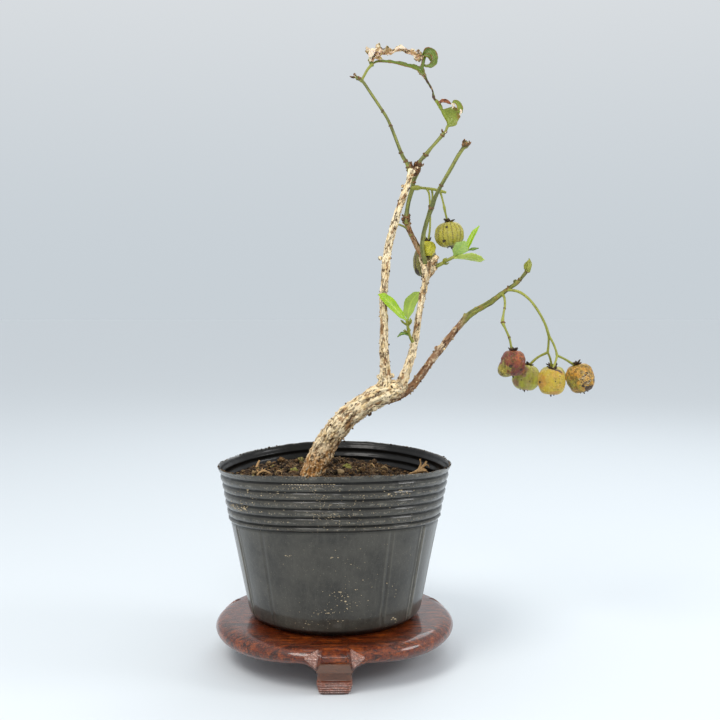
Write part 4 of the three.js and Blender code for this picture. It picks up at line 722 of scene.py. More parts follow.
def mesh_object(name, surface, origin=ORIGIN, scale=MM):
    """A mesh with the surface's points and faces, linked to the scene."""
    mesh = bpy.data.meshes.new(name)
    corners = np.concatenate([surface.quads.ravel(), surface.tris.ravel()]).astype(np.int32)
    four = len(surface.quads)
    starts = np.concatenate([np.arange(four) * 4, four * 4 + np.arange(len(surface.tris)) * 3])
    mesh.vertices.add(len(surface.points))
    mesh.vertices.foreach_set("co", (surface.points * scale + origin).astype(np.float32).ravel())
    mesh.loops.add(len(corners))
    mesh.loops.foreach_set("vertex_index", corners)
    mesh.polygons.add(len(starts))
    mesh.polygons.foreach_set("loop_start", starts.astype(np.int32))
    mesh.polygons.foreach_set("use_smooth", np.ones(len(starts), bool))
    mesh.update(calc_edges=True)
    for label, mark in surface.marks.items():
        attribute = mesh.attributes.new(label, "FLOAT_VECTOR", "POINT")
        attribute.data.foreach_set("vector", mark.astype(np.float32).ravel())
    piece = bpy.data.objects.new(name, mesh)
    bpy.context.scene.collection.objects.link(piece)
    return piece


def new_piece(name, surface, finish, node=None, crisp=None):
    """A piece of the tree, pot or stand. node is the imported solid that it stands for, and crisp the angle in
    degrees past which an edge stays sharp."""
    piece = mesh_object(name, surface)
    if crisp:
        piece.data.set_sharp_from_angle(angle=math.radians(crisp))
    piece.data.materials.append(bpy.data.materials[finish + "_finish"])
    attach(piece, "root")
    if node:
        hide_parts(node)


# Effects that several finishes share


def put(tree, kind, settings=None, **sockets):
    """Adds a node. A socket given as another node's output is joined to it, and anything else is set."""
    node = tree.nodes.new(kind)
    for key, value in (settings or {}).items():
        setattr(node, key, value)
    for key, value in sockets.items():
        name = int(key[1:]) if key[0] == "_" else key.replace("_", " ")
        if isinstance(value, bpy.types.NodeSocket):
            tree.links.new(value, node.inputs[name])
        else:
            node.inputs[name].default_value = value
    return node


def rgba(colour):
    """A socket as it is, or a colour with a fourth channel of 1."""
    return colour if isinstance(colour, bpy.types.NodeSocket) else (*colour[:3], 1.0)


def reckon(tree, operation, a, b=0.0):
    """Two values, or sockets, put together by one step of arithmetic."""
    return put(tree, "ShaderNodeMath", {"operation": operation}, _0=a, _1=b).outputs[0]


def ramp(tree, value, low, high):
    """0 at low, 1 at high and a smooth step between."""
    settings = {"interpolation_type": "SMOOTHSTEP"}
    return put(tree, "ShaderNodeMapRange", settings, Value=value, From_Min=low, From_Max=high).outputs[0]


def effect_group(name, inputs, build):
    """A node group that reads a place in millimetres and puts out a mask from 0 to 1."""
    tree = bpy.data.node_groups.new(name, "ShaderNodeTree")
    tree.interface.new_socket("Place", in_out="INPUT", socket_type="NodeSocketVector")
    for label, value in inputs.items():
        socket = tree.interface.new_socket(label, in_out="INPUT", socket_type="NodeSocketFloat")
        socket.default_value = value
    tree.interface.new_socket("Mask", in_out="OUTPUT", socket_type="NodeSocketFloat")
    source = tree.nodes.new("NodeGroupInput").outputs
    target = tree.nodes.new("NodeGroupOutput")
    tree.links.new(build(tree, source), target.inputs["Mask"])


def build_mottle(tree, source):
    """Soft blotches: noise of the place, stepped between Low and High."""
    place, scale = source["Place"], source["Scale"]
    field = put(tree, "ShaderNodeTexNoise", Vector=place, Scale=scale, Detail=5.0, Roughness=0.62)
    return ramp(tree, field.outputs["Fac"], source["Low"], source["High"])


def build_flecks(tree, source):
    """Small grains: within Size of a scattered point, on the share of points whose random value is under
    Share."""
    bent = put(tree, "ShaderNodeTexNoise", Vector=source["Place"], Scale=1.7, Detail=2.0)
    bend, add, place = bent.outputs["Color"], {"operation": "MULTIPLY_ADD"}, source["Place"]
    moved = put(tree, "ShaderNodeVectorMath", add, _0=bend, _1=(0.6,) * 3, _2=place).outputs[0]
    field = put(tree, "ShaderNodeTexVoronoi", Vector=moved, Scale=source["Scale"])
    size = source["Size"]
    near = ramp(tree, field.outputs["Distance"], size, reckon(tree, "MULTIPLY", size, 0.6))
    luck = put(tree, "ShaderNodeSeparateColor", Color=field.outputs["Color"]).outputs[0]
    chosen = reckon(tree, "LESS_THAN", luck, source["Share"])
    return reckon(tree, "MULTIPLY", near, chosen)


def build_streaks(tree, source):
    """Fine lines along the place's Z: noise that is squeezed across and stretched along."""
    times = {"operation": "MULTIPLY"}
    thin = put(tree, "ShaderNodeVectorMath", times, _0=source["Place"], _1=(1.0, 1.0, 0.09)).outputs[0]
    field = put(tree, "ShaderNodeTexNoise", Vector=thin, Scale=source["Scale"], Detail=4.0, Roughness=0.7)
    return ramp(tree, field.outputs["Fac"], source["Low"], source["High"])


def build_wrinkles(tree, source):
    """Winding folds: the contour lines of a soft noise."""
    field = put(tree, "ShaderNodeTexNoise", Vector=source["Place"], Scale=source["Scale"], Detail=2.0)
    fold = reckon(tree, "PINGPONG", reckon(tree, "MULTIPLY", field.outputs["Fac"], 10.0), 1.0)
    return ramp(tree, fold, source["Low"], source["High"])


STEPPED = dict(Scale=1.0, Low=0.45, High=0.6)
EFFECTS = {
    "Mottle": (STEPPED, build_mottle),
    "Flecks": (dict(Scale=1.0, Size=0.3, Share=0.5), build_flecks),
    "Streaks": (STEPPED, build_streaks),
    "Wrinkles": (STEPPED, build_wrinkles),
}


class Layer:
    """One coat of a finish: where its effect's mask is 1 it shows its colour at full strength, it is raised
    by height in millimetres, and the surface has its roughness. mark is (attribute, axis, low, high): the
    mask counts only where that attribute has risen from low to high. coat is the coat weight there, and
    stretch multiplies the place that the effect reads."""

    def __init__(
        self, effect, colour, strength, mark=None, height=0.0, rough=None, coat=None, stretch=None, **values
    ):
        self.effect, self.colour, self.strength, self.mark = effect, colour, strength, mark
        self.height, self.rough, self.coat, self.stretch, self.values = height, rough, coat, stretch, values


def noise_layer(effect, colour, strength, scale, low, high, mark=None, **rest):
    """A layer whose effect is a noise of the given scale, stepped between low and high."""
    return Layer(effect, colour, strength, mark, Scale=scale, Low=low, High=high, **rest)


mottle = partial(noise_layer, "Mottle")
streaks = partial(noise_layer, "Streaks")
wrinkles = partial(noise_layer, "Wrinkles")
tint = partial(Layer, None)


def layered_finish(name, base, layers, place="Object", roughness=0.6, gloss=(0.5, 0.0, 0.1), thin=0.0):
    """A Principled surface whose colour, roughness and relief are a base with layers laid over it. gloss is
    specular level, coat weight and coat roughness, and thin is how much light a blade lets through."""
    material = bpy.data.materials.new(name + "_finish")
    material.use_nodes = True
    tree = material.node_tree
    tree.nodes.clear()
    if place == "Object":
        source = tree.nodes.new("ShaderNodeTexCoord").outputs["Object"]
        settings = {"operation": "SCALE"}
        place_mm = put(tree, "ShaderNodeVectorMath", settings, Vector=source, Scale=1 / MM).outputs[0]
    else:
        place_mm = put(tree, "ShaderNodeAttribute", {"attribute_name": place}).outputs["Vector"]
    colour, shine, coat, relief = base, roughness, gloss[1], 0.0
    for layer in layers:
        at = place_mm
        if layer.stretch:
            drawn = put(tree, "ShaderNodeVectorMath", {"operation": "MULTIPLY"}, _0=at, _1=layer.stretch)
            at = drawn.outputs[0]
        mask = 1.0
        if layer.effect:
            settings = {"node_tree": bpy.data.node_groups[layer.effect]}
            mask = put(tree, "ShaderNodeGroup", settings, Place=at, **layer.values).outputs["Mask"]
        if layer.mark:
            label, axis, low, high = layer.mark
            attribute = put(tree, "ShaderNodeAttribute", {"attribute_name": label})
            part = put(tree, "ShaderNodeSeparateXYZ", Vector=attribute.outputs["Vector"]).outputs[axis]
            mask = reckon(tree, "MULTIPLY", ramp(tree, part, low, high), mask)
        if layer.height:
            relief = reckon(tree, "ADD", relief, reckon(tree, "MULTIPLY", mask, layer.height))
        weak = reckon(tree, "MULTIPLY", mask, layer.strength)
        blend = {"data_type": "RGBA"}
        mixed = put(tree, "ShaderNodeMix", blend, _0=weak, _6=rgba(colour), _7=rgba(layer.colour))
        colour = mixed.outputs[2]
        if layer.rough is not None:
            shine = put(tree, "ShaderNodeMix", _0=weak, _2=shine, _3=layer.rough).outputs[0]
        if layer.coat is not None:
            coat = put(tree, "ShaderNodeMix", _0=weak, _2=coat, _3=layer.coat).outputs[0]
    shader = put(tree, "ShaderNodeBsdfPrincipled", Base_Color=rgba(colour), Roughness=shine, Coat_Weight=coat)
    shader.inputs["Specular IOR Level"].default_value = gloss[0]
    shader.inputs["Coat Roughness"].default_value = gloss[2]
    if thin:
        shader.inputs["Subsurface Weight"].default_value = thin
        shader.inputs["Subsurface Radius"].default_value = (0.6, 0.9, 0.2)
        shader.inputs["Subsurface Scale"].default_value = MM
    if isinstance(relief, bpy.types.NodeSocket):
        raised = put(tree, "ShaderNodeBump", Height=relief, Strength=1.0, Distance=MM)
        tree.links.new(raised.outputs["Normal"], shader.inputs["Normal"])
    output = tree.nodes.new("ShaderNodeOutputMaterial")
    tree.links.new(shader.outputs["BSDF"], output.inputs["Surface"])


# Settings


def linear(code):
    """A colour written as six hex digits, as the linear values that Blender works in."""
    parts = np.array([int(code[i : i + 2], 16) for i in (0, 2, 4)]) / 255
    return tuple(np.where(parts < 0.04045, parts / 12.92, ((parts + 0.055) / 1.055) ** 2.4))


def colour_property(name, description, code):
    """A colour in the panel, by its hex digits."""
    return bpy.props.FloatVectorProperty(
        name=name, description=description, default=linear(code), subtype="COLOR", min=0, max=1
    )


def length_property(name, description, millimetres):
    """A length in the panel, by its millimetres."""
    return bpy.props.FloatProperty(
        name=name, description=description, default=millimetres * MM, min=0, unit="LENGTH", precision=5
    )


class StandSettings(bpy.types.PropertyGroup):
    """Sizes and colours of the varnished stand."""

    wood: colour_property("Wood", "Reddish brown of the varnished wood", "5a1f08")
    streak: colour_property("Streaks", "Dark grain in the wood", "200a03")
    amber: colour_property("Amber", "Lighter patches where the varnish glows", "a8531a")
    # On the foot, strongest along its ridge crests, this lighter tone is a painted highlight.
    carved: colour_property("Carved", "Lighter cut facets beside a knee", "d8b0a2")
    matt: colour_property("Matt", "Matt facet under a knee", "6f5140")
    foot_ridge: length_property("Foot ridges", "How far the level ridges stand out of a foot", 0.12)


class PotSettings(bpy.types.PropertyGroup):
    """Sizes and colours of the thin nursery pot."""

    plastic: colour_property("Plastic", "Dark grey of the pot", "2d2b26")
    worn: colour_property("Worn plastic", "Greyer film on the plastic", "504d45")
    # Besides scuffs, this pale film paints highlights on the swells beside the creases.
    film: colour_property("Film", "Pale scuffs on ridges and creases", "8c877a")
    # Painted shade: this near black darkens the wall's inside, the grooves between the bands and the rounded
    # foot.
    inner: colour_property("Inside", "Near black of the wall's inside", "0b0b0b")
    dust: colour_property("Dust", "Dry soil dust on the ridges", "c2ae8c")
    wall: length_property("Wall", "Thickness of the wall", 0.9)
    crease: length_property("Crease", "Depth of the crease between two panels", 0.5)


class SoilSettings(bpy.types.PropertyGroup):
    """Sizes and colours of the soil."""

    # Painted shade: this dark also fills the low gaps between the crumbs of the soil's top, besides colouring
    # dark crumbs.
    dark: colour_property("Dark", "Damp gaps between the crumbs", "140d08")
    earth: colour_property("Earth", "Brown crumbs", "43301f")
    orange: colour_property("Orange", "Orange-brown crumbs", "735534")
    tan: colour_property("Tan", "Pale dry crumbs", "ab9168")
    moss: colour_property("Moss", "Yellow-green moss", "8f8b48")
    root: colour_property("Root", "Pale dry root", "b58f60")
    crumbs: bpy.props.IntProperty(name="Crumbs", description="Loose crumbs on the soil", default=1150, min=0)
    crumb_size: length_property("Crumb size", "Mean radius of a loose crumb", 0.5)


class WoodSettings(bpy.types.PropertyGroup):
    """Sizes and colours of the trunk, branches and twigs."""

    bark: colour_property("Bark", "Cream of the bare bark", "ecd09c")
    # On the raised flakes this pale is also a painted highlight.
    bark_pale: colour_property("Bark ridges", "Paler skin between the flecks", "ffebc4")
    bark_tan: colour_property("Bark shade", "Tan in the shallow grooves", "98683a")
    # In the bark's grooves this dark brown is also painted shade.
    bark_dark: colour_property("Bark flecks", "Dark brown flecks", "44280f")
    # Also painted shade: the undersides of the stems get this golden brown and extra dark flecks.
    bark_gold_and_shade: colour_property("Bark near the soil", "Golden brown of the lowest bark", "bd7c2c")
    bark_red: colour_property("Young bark", "Reddish brown of the right branch", "7a4f30")
    twig: colour_property("Twig", "Olive green of this year's twigs", "555a28")
    twig_lit: colour_property("Twig side", "Yellow-green side of a twig", "949644")
    stalk: colour_property("Stalk", "Yellow-green fruit stalks", "868a30")
    stalk_lit: colour_property("Stalk side", "Lighter side of a stalk", "a5a648")
    stalk_dark: colour_property("Stalk streaks", "Dark streaks on a stalk", "5e5c26")
    bud: colour_property("Bud scales", "Brown of the bud scales", "634220")
    scar: colour_property("Leaf scars", "Brown of the rings where leaves have dropped", "5f4a28")
    voxel: length_property("Skin detail", "Grain of the skin laid over trunk and branches", 0.27)


# Each kind of capsule: its skin, its blush and its pale patches
CAPSULE_COLOURS = {
    "red": ("763026", "b4602c", "b8ac48"),
    "green": ("b0ae38", "a3775a", "c4c860"),
    "olive": ("aaa034", "bfb23e", "c8c266"),
    "shade": ("75702e", "8e8434", "a5a054"),
    "lemon": ("c8c026", "a5a42a", "d8d45a"),
    "yellow": ("bfa32a", "c08c34", "d8c45a"),
    "brown": ("cc9434", "a09a38", "cfa050"),
}
CAPSULE_PARTS = ("skin", "blush", "pale")


class CapsuleSettings(bpy.types.PropertyGroup):
    """Colours of the seed capsules: three of each kind, and what all share."""

    __annotations__ = {
        f"{kind}_{part}": colour_property(f"{kind} {part}".capitalize(), f"The {kind} capsule's {part}", code)
        for kind, codes in CAPSULE_COLOURS.items()
        for part, code in zip(CAPSULE_PARTS, codes)
    }
    rot: colour_property("Rot", "Dark rot", "2c1a14")
    furrow: colour_property("Furrow", "Brown of the furrows", "59481f")
    cream_highlight: colour_property("Cream", "Papery skin between the cracks", "ecdcb8")
    # Painted highlight: this cream, on the crackled pale patch of the brown capsule, stands for highlights.
    calyx: colour_property("Calyx", "Dark brown of the dry calyx", "2c2118")
    calyx_tan: colour_property("Calyx tan", "Lighter patches on the calyx", "6a5030")


class LeafSettings(bpy.types.PropertyGroup):
    """Colours of the leaves: flesh and blotches of each green one, and what all share."""

    bright: colour_property("Bright", "Fresh green leaf", "9abb0c")
    bright_edge: colour_property("Bright edge", "Blotches on it", "5f9208")
    pale: colour_property("Pale", "Pale sage leaf", "8fa83a")
    pale_edge: colour_property("Pale edge", "Blotches on it", "7d9a34")
    sage: colour_property("Sage", "Light blue-green leaf", "a2bd60")
    sage_edge: colour_property("Sage edge", "Blotches on it", "86a850")
    lemon: colour_property("Lemon", "Pale yellow-green leaf", "bcca60")
    lemon_edge: colour_property("Lemon edge", "Blotches on it", "97ab4c")
    dark: colour_property("Dark", "Dark green leaf", "4c6c20")
    dark_edge: colour_property("Dark edge", "Blotches on it", "3f5a20")
    deep: colour_property("Deep", "Green of the chewed leaf at the top", "5f7320")
    deep_edge: colour_property("Deep edge", "Blotches on it", "6e6628")
    cup: colour_property("Cup", "Yellow-green of the cupped leaf", "7c8826")
    cup_edge: colour_property("Cup edge", "Blotches on it", "8f9a34")
    midrib: colour_property("Midrib", "Light vein down the middle", "b0c648")
    dry: colour_property("Dry", "Dried brown leaf", "ab8a60")
    paper: colour_property("Paper", "White papery skin of the dried leaf", "ead6bc")
    rust: colour_property("Rust", "Rusty edge of a leaf", "8f4f26")
    umber: colour_property("Umber", "Dark brown of a shrunken leaf", "4a3020")


class StageSettings(bpy.types.PropertyGroup):
    """Floor, light and camera."""

    floor: colour_property("Floor", "Pale floor", "dfe6eb")
    sky: colour_property("Sky", "Colour of the soft light all round", "f7f9fb")
    sky_strength: bpy.props.FloatProperty(
        name="Sky strength", description="Brightness of the soft light overhead", default=0.84, min=0
    )
    key_power: bpy.props.FloatProperty(
        name="Key light", description="Power of the large soft light", default=2.8, unit="POWER"
    )
    distance: length_property("Camera distance", "From the stand's centre to the camera", -CAMERA[1])
    height: length_property("Camera height", "Above the floor", CAMERA[2])
    focal: bpy.props.FloatProperty(
        name="Focal length", description="Of the lens", default=FOCAL_PIXELS / PICTURE_SIDE * SENSOR_WIDTH,
        unit="CAMERA"
    )


# Stand


def apron_dip(degrees):
    """How far the under-edge hangs down: it thins as a bell curve of the angle near a leg, and drops beside
    the leg as the power 2.2 of the share of 8 mm that is left."""
    away = np.min([np.abs((degrees - leg + 180) % 360 - 180) for leg in LEG_ANGLES], axis=0)
    beside = np.maximum(np.radians(away) * STAND_RADIUS - 6.4, 0)
    share = 1 - np.minimum(beside / 8, 1)
    return 3.6 * share**2.2 - 2.2 * np.exp(-((away / 28) ** 2))


def stand_plate():
    """The round top: half a superellipse turned about the middle, hung lower by apron_dip at its
    under-edge."""
    turn = np.radians(np.linspace(-90, 90, 33))
    out = STAND_RADIUS - STAND_EDGE + STAND_EDGE * np.cos(turn).clip(0) ** 0.9
    height = (STAND_TOP + STAND_UNDER) / 2 + (STAND_TOP - STAND_UNDER) / 2 * np.sin(turn)
    inner = np.array([8, 20, 30, STAND_RADIUS - 2 * STAND_EDGE, 38])
    out = np.concatenate([inner, out, inner[::-1]])
    height = np.concatenate([np.full(5, STAND_UNDER), height, np.full(5, STAND_TOP)])
    degrees = np.arange(0, 360, 1.0)
    low = smooth_step(STAND_TOP - height, 2, STAND_TOP - STAND_UNDER)
    edge = smooth_step(out, STAND_RADIUS - 2 * STAND_EDGE, STAND_RADIUS - STAND_EDGE)
    z = height[:, None] - (low * edge)[:, None] * apron_dip(degrees)
    angle = np.radians(degrees)
    rings = np.stack([out[:, None] * np.cos(angle), out[:, None] * np.sin(angle), z], -1)
    return lathe(rings, [(0, 0, STAND_UNDER), (0, 0, STAND_TOP)])


def stand_leg(ridge):
    """A foot along X: at each height a rounded rectangle, where both coordinates are the sine and cosine of
    the angle to the power 0.3, between an inner and an outer face. The outer face follows LEG_LEVELS, and
    cosine ridges run round it."""
    top = LEG_LEVELS[-1, 0]
    height = np.linspace(0, top, 110)
    outer, half = (np.interp(height, LEG_LEVELS[:, 0], LEG_LEVELS[:, k]) for k in (1, 2))
    kernel = np.ones(5) / 5
    outer, half = (np.convolve(np.pad(v, 2, "edge"), kernel, "valid") for v in (outer, half))
    foot = smooth_step(4.4 - height, 0, 0.8)
    crest = np.cos(2 * np.pi * height / FOOT_RIDGE_PITCH)
    wave = ridge * crest * foot
    inner = 37 - 7 * smooth_step(height, 5, 9)
    turn = np.linspace(0, 2 * np.pi, 72, endpoint=False)
    across = np.sign(np.sin(turn)) * np.abs(np.sin(turn)) ** 0.3
    deep = np.sign(np.cos(turn)) * np.abs(np.cos(turn)) ** 0.3
    middle, reach = (outer + inner) / 2, (outer - inner) / 2
    x = middle[:, None] + (reach + wave)[:, None] * deep
    y = (half + wave)[:, None] * across
    rings = np.stack([x, y, height[:, None] + 0 * x], -1)
    matt = 0.7 * smooth_step(height, 4.5, 5.1)
    # Painted highlight: the carved tone on the foot, strongest on the crests of its ridges.
    knife = (0.15 + 0.75 * smooth_step(crest, -0.8, 0.9)) * smooth_step(height, 5.0, 4.5)
    cut = np.stack([knife, matt, 0 * matt], -1)[:, None] + 0 * rings
    return lathe(rings, [(41, 0, 0), (37, 0, top)], cut=cut)


def carved(corners, sides, bevel, cut):
    """The hull of some corners on the given sides of the XZ plane, with its edges rounded. cut marks how it
    was left by the knife."""
    shape = bmesh.new()
    for side in sides:
        for x, y, z in corners:
            shape.verts.new((x, y * side, z))
    bmesh.ops.convex_hull(shape, input=shape.verts)
    bmesh.ops.dissolve_limit(shape, angle_limit=0.03, verts=list(shape.verts), edges=list(shape.edges))
    edges = list(shape.edges)
    bmesh.ops.bevel(shape, geom=edges, offset=bevel, segments=3, affect="EDGES", clamp_overlap=True)
    bmesh.ops.triangulate(shape, faces=list(shape.faces))
    points = np.array([v.co[:] for v in shape.verts])
    tris = np.array([[v.index for v in face.verts] for face in shape.faces])
    shape.free()
    return Surface(points, [], tris, cut=np.tile(cut, (len(points), 1))).outwards()


def turned(surface, degrees):
    """The surface turned about the stand's axis."""
    c, s = math.cos(math.radians(degrees)), math.sin(math.radians(degrees))
    surface.points = surface.points @ np.array([[c, s, 0], [-s, c, 0], [0, 0, 1]])
    return surface


class BONSAI_OT_stand(bpy.types.Operator):
    """Build the carved round stand"""

    bl_idname = "bonsai.stand"
    bl_label = "Stand"

    def execute(self, context):
        s = context.scene.bonsai_stand
        layered_finish(
            "stand_varnish", s.wood,
            [
                mottle(s.amber, 0.45, 0.2, 0.42, 0.7),
                mottle(s.amber, 0.5, 0.7, 0.5, 0.64, stretch=(0.3, 1.0, 1.6)),
                streaks(s.streak, 0.85, 0.6, 0.5, 0.62, height=-0.02, stretch=(0.08, 1.0, 5.0)),
                mottle(s.streak, 0.55, 0.45, 0.5, 0.7),
                mottle(s.streak, 0.8, 1.2, 0.54, 0.6, height=-0.04, stretch=(0.4, 1.0, 1.6)),
                mottle(s.amber, 0.45, 1.6, 0.56, 0.64, height=0.04),
                tint(s.matt, 0.8, ("cut", 1, 0.0, 1.0), rough=0.6),
                # The cut mark's first part: the lighter tone of cut facets, and a painted highlight along the
                # foot's ridge crests.
                tint(s.carved, 0.2, ("cut", 0, 0.0, 1.0), rough=0.3),
                mottle(s.carved, 0.75, 2.2, 0.48, 0.62, ("cut", 0, 0.0, 1.0), height=0.08, rough=0.25),
            ],
            roughness=0.34, gloss=(0.3, 0.7, 0.06),
        )
        ridge = s.foot_ridge / MM
        parts = [stand_plate()]
        for degrees in LEG_ANGLES:
            leg = [
                stand_leg(ridge),
                carved(KNEE, (1, -1), 0.6, (0, 0, 0)),
                carved(CHEVRON, (1, -1), 0.2, (0, 1, 0)),
                carved(FACET, (1,), 0.3, (1, 0, 0)),
                carved(FACET, (-1,), 0.3, (1, 0, 0)),
            ]
            parts += [turned(part, degrees) for part in leg]
        new_piece("stand_varnished", joined(parts), "stand_varnish", "stand", crisp=40)
        return {"FINISHED"}


# Pot


def pot_lift(height, turn):
    """The thin wall is pulled up at the front and back, from nothing at its foot to all of it at the
    ridges."""
    return smooth_step(height, 0, POT_GROOVES[0]) * (2.45 * np.sin(turn) ** 2 + 0.4 * np.cos(turn))


def pot_band(height):
    """How far a rounded band stands out between every two grooves near the rim, from 0 in a groove to 1."""
    grooves = np.array(POT_GROOVES + (POT_LIP + 2,))
    row = np.clip(np.searchsorted(grooves, height, "right") - 1, 0, len(grooves) - 2)
    share = np.clip((height - grooves[row]) / (grooves[row + 1] - grooves[row]), 0, 1)
    return np.sin(np.pi * share) ** 0.6


def pot_cone(height):
    """The wall's outer radius at a height, without bands and creases."""
    return POT_FOOT_RADIUS + POT_TAPER * height


def pot_radius(height):
    """The cone of the wall, rounded at its foot, with bands 1 mm proud near the rim."""
    start = smooth_step(height, POT_GROOVES[0] - 1.2, POT_GROOVES[0])
    foot = 3.8 * (1 - smooth_step(height, -1.5, 3.8)) ** 2
    band = np.where(height > POT_GROOVES[0], pot_band(height) - 0.35, -0.35)
    return pot_cone(height) + start * band - foot


def crease_shape(turn, height):
    """At each panel's edge a narrow valley, a bell curve of the arc from it, and two faint swells beside it.
    Both fade at the foot and at the ridges."""
    gap = 2 * np.pi / POT_PANELS
    number = np.round((turn - FIRST_CREASE) / gap)
    drift = 0.006 * noise(np.stack([number, height * 0.05, 0 * height], -1), 4)
    arc = (turn - FIRST_CREASE - number * gap - drift) * pot_cone(height)
    share = CREASE_SHARES[number.astype(int) % POT_PANELS]
    fade = share * smooth_step(height, 1.0, 5.0) * (1 - smooth_step(height, 36.5, 39))
    return fade * np.exp(-((arc / 0.5) ** 2)), fade * np.exp(-(((np.abs(arc) - 1.1) / 0.5) ** 2))


def pot_surface(wall, crease):
    """Rows of radius and height from the drain hole out, up the outside, over the thin lip, and down inside,
    each carried round as radius less the creases and a little waviness."""
    rise = np.concatenate([np.linspace(0.9, 36, 34), np.linspace(36.6, POT_LIP, 96)])
    outer = np.concatenate([[7, 20, 29.5], pot_radius(np.array([0.0, 0.25])), pot_radius(rise)])
    height = np.concatenate([[0, 0, 0], [0.0, 0.25], rise])
    lip = pot_radius(POT_LIP) + np.array([0.25, 0.35, 0.15, -0.2, -0.45])
    lip_height = POT_LIP + np.array([0.3, 0.5, 0.65, 0.6, 0.3])
    down = rise[::-2]
    inner = pot_radius(down) - wall
    radius = np.concatenate([outer, lip, inner, [31.2, 7]])
    height = np.concatenate([height, lip_height, down, [1.0, 1.0]])
    turn = np.radians(np.arange(0, 360, 1.0))
    h, t = height[:, None] + 0 * turn, turn + 0 * height[:, None]
    way = np.stack([np.cos(t) * 2.2, np.sin(t) * 2.2, h * 0.05], -1)
    upper = smooth_step(h, 10, POT_LIP + 0.4)
    valley, swell = crease_shape(t, h)
    reach = radius[:, None] - crease * (valley - 0.45 * swell) + 0.22 * upper * rough(way, 2, 3)
    collar = smooth_step(h, POT_GROOVES[0] - 0.5, POT_GROOVES[0])
    reach += 0.09 * collar * rough(np.stack([np.cos(t) * 14, np.sin(t) * 14, h * 0.4], -1), 2, 14)
    wobble = 0.22 * rough(way * [3, 3, 1], 2, 8) * smooth_step(h, POT_LIP - 2, POT_LIP + 0.4)
    z = POT_FOOT + h + pot_lift(h, t) + wobble
    rings = np.stack([reach * np.cos(t), reach * np.sin(t), z], -1)
    count, sides = rings.shape[:2]
    k = np.arange(sides)
    after = (k + 1) % sides
    row = np.arange(count)[:, None] * sides
    above = np.roll(row, -1, axis=0)
    quads = np.stack([row + k, row + after, above + after, above + k], -1)
    inside = (np.arange(count) > len(outer) + 3)[:, None] * np.ones(sides)
    # The skin mark: wear on the band crests, whose low values also paint shade in the grooves and at the foot;
    # the wall's inside, which gets painted shade; and the swells beside the creases, which get a painted
    # highlight.
    wear_and_shade = np.where(collar > 0.5, pot_band(h), 0.85 * smooth_step(h, 0.8, 3.0))
    skin = np.stack([wear_and_shade, inside, swell * (1 - inside)], -1)
    return Surface(rings, quads, skin=skin).outwards()


def on_pot(px, py):
    """The place on the pot's outer wall, nearest the viewer, that shows at a pixel of the photograph, or None
    beside the pot."""
    right, up = (px - PICTURE_SIDE / 2) / FOCAL_PIXELS, (PICTURE_SIDE / 2 - py) / FOCAL_PIXELS
    cos, sin = math.cos(CAMERA_PITCH), math.sin(CAMERA_PITCH)
    way = np.array([right, cos + up * sin, -sin + up * cos])
    share = 360.0
    for _ in range(12):
        at = CAMERA + way * share
        turn = math.atan2(at[1], at[0])
        height = at[2] - POT_FOOT
        height -= pot_lift(height, turn)
        excess = math.hypot(at[0], at[1]) - float(pot_radius(np.array(height)))
        share += excess / -(way[0] * math.cos(turn) + way[1] * math.sin(turn)) * 0.9
    return at if abs(excess) < 0.05 else None


# Dry soil on the pot: middle of each patch as a pixel of the photograph, its reach across and up in pixels,
# how many specks it has, and how large they are in millimetres
POT_DUST = [
    (235, 506, 9, 2.5, 60, 0.22), (262, 493, 16, 2.5, 34, 0.16), (324, 517, 17, 2, 40, 0.14),
    (400, 493, 8, 3, 20, 0.18), (312, 488, 26, 2, 60, 0.12), (350, 503, 30, 6, 40, 0.12),
    (347, 597, 7, 5, 24, 0.17), (331, 614, 10, 4, 26, 0.14), (308, 624, 9, 2, 10, 0.12),
    (394, 620, 2, 1.5, 6, 0.26), (291, 554, 3, 2, 4, 0.16), (334, 556, 3, 3, 4, 0.16),
    (388, 595, 4, 6, 6, 0.15), (372, 525, 26, 3, 16, 0.12), (350, 590, 22, 18, 70, 0.09),
    (300, 530, 30, 3, 14, 0.12), (260, 512, 12, 2, 20, 0.15), (300, 497, 40, 3, 40, 0.1),
]

# A painted highlight along the lip, made of a row of pale specks, as its row and its two ends, and one large
# lump of dust, in pixels
LIP_HIGHLIGHT_STREAK = (484.6, 283, 334)
DUST_LUMP = (340, 592)


def on_wall(turn, height, reach):
    """The place at an angle and a height of the wall, as far from the axis as reach says."""
    return (reach * math.cos(turn), reach * math.sin(turn), POT_FOOT + height + pot_lift(height, turn))


def speck(at, size, long, seed, tone):
    """A flat lump against the wall, drawn out round it."""
    turn = math.atan2(at[1], at[0])
    reach = math.hypot(at[0], at[1])
    lump = ball((reach, 0, at[2]), size, 6, 3, (0.35, long, 0.7), 0.4, seed, tone)
    return turned(lump, math.degrees(turn))


def rim_grit():
    """Soil grains stuck along the lip, all the way round."""
    random = np.random.default_rng(21)
    middle = float(pot_radius(np.array(POT_LIP)))
    grains = []
    for i in range(420):
        turn = random.uniform(0, 2 * np.pi)
        reach = middle + random.normal(-0.05, 0.2)
        size = 0.17 * math.exp(random.normal(0, 0.45))
        at = on_wall(turn, POT_LIP + 0.6, reach)
        grains.append(ball(at, size, 6, 4, (1, 1.2, 0.8), 0.5, i, random.random() ** 1.5))
    return joined(grains)


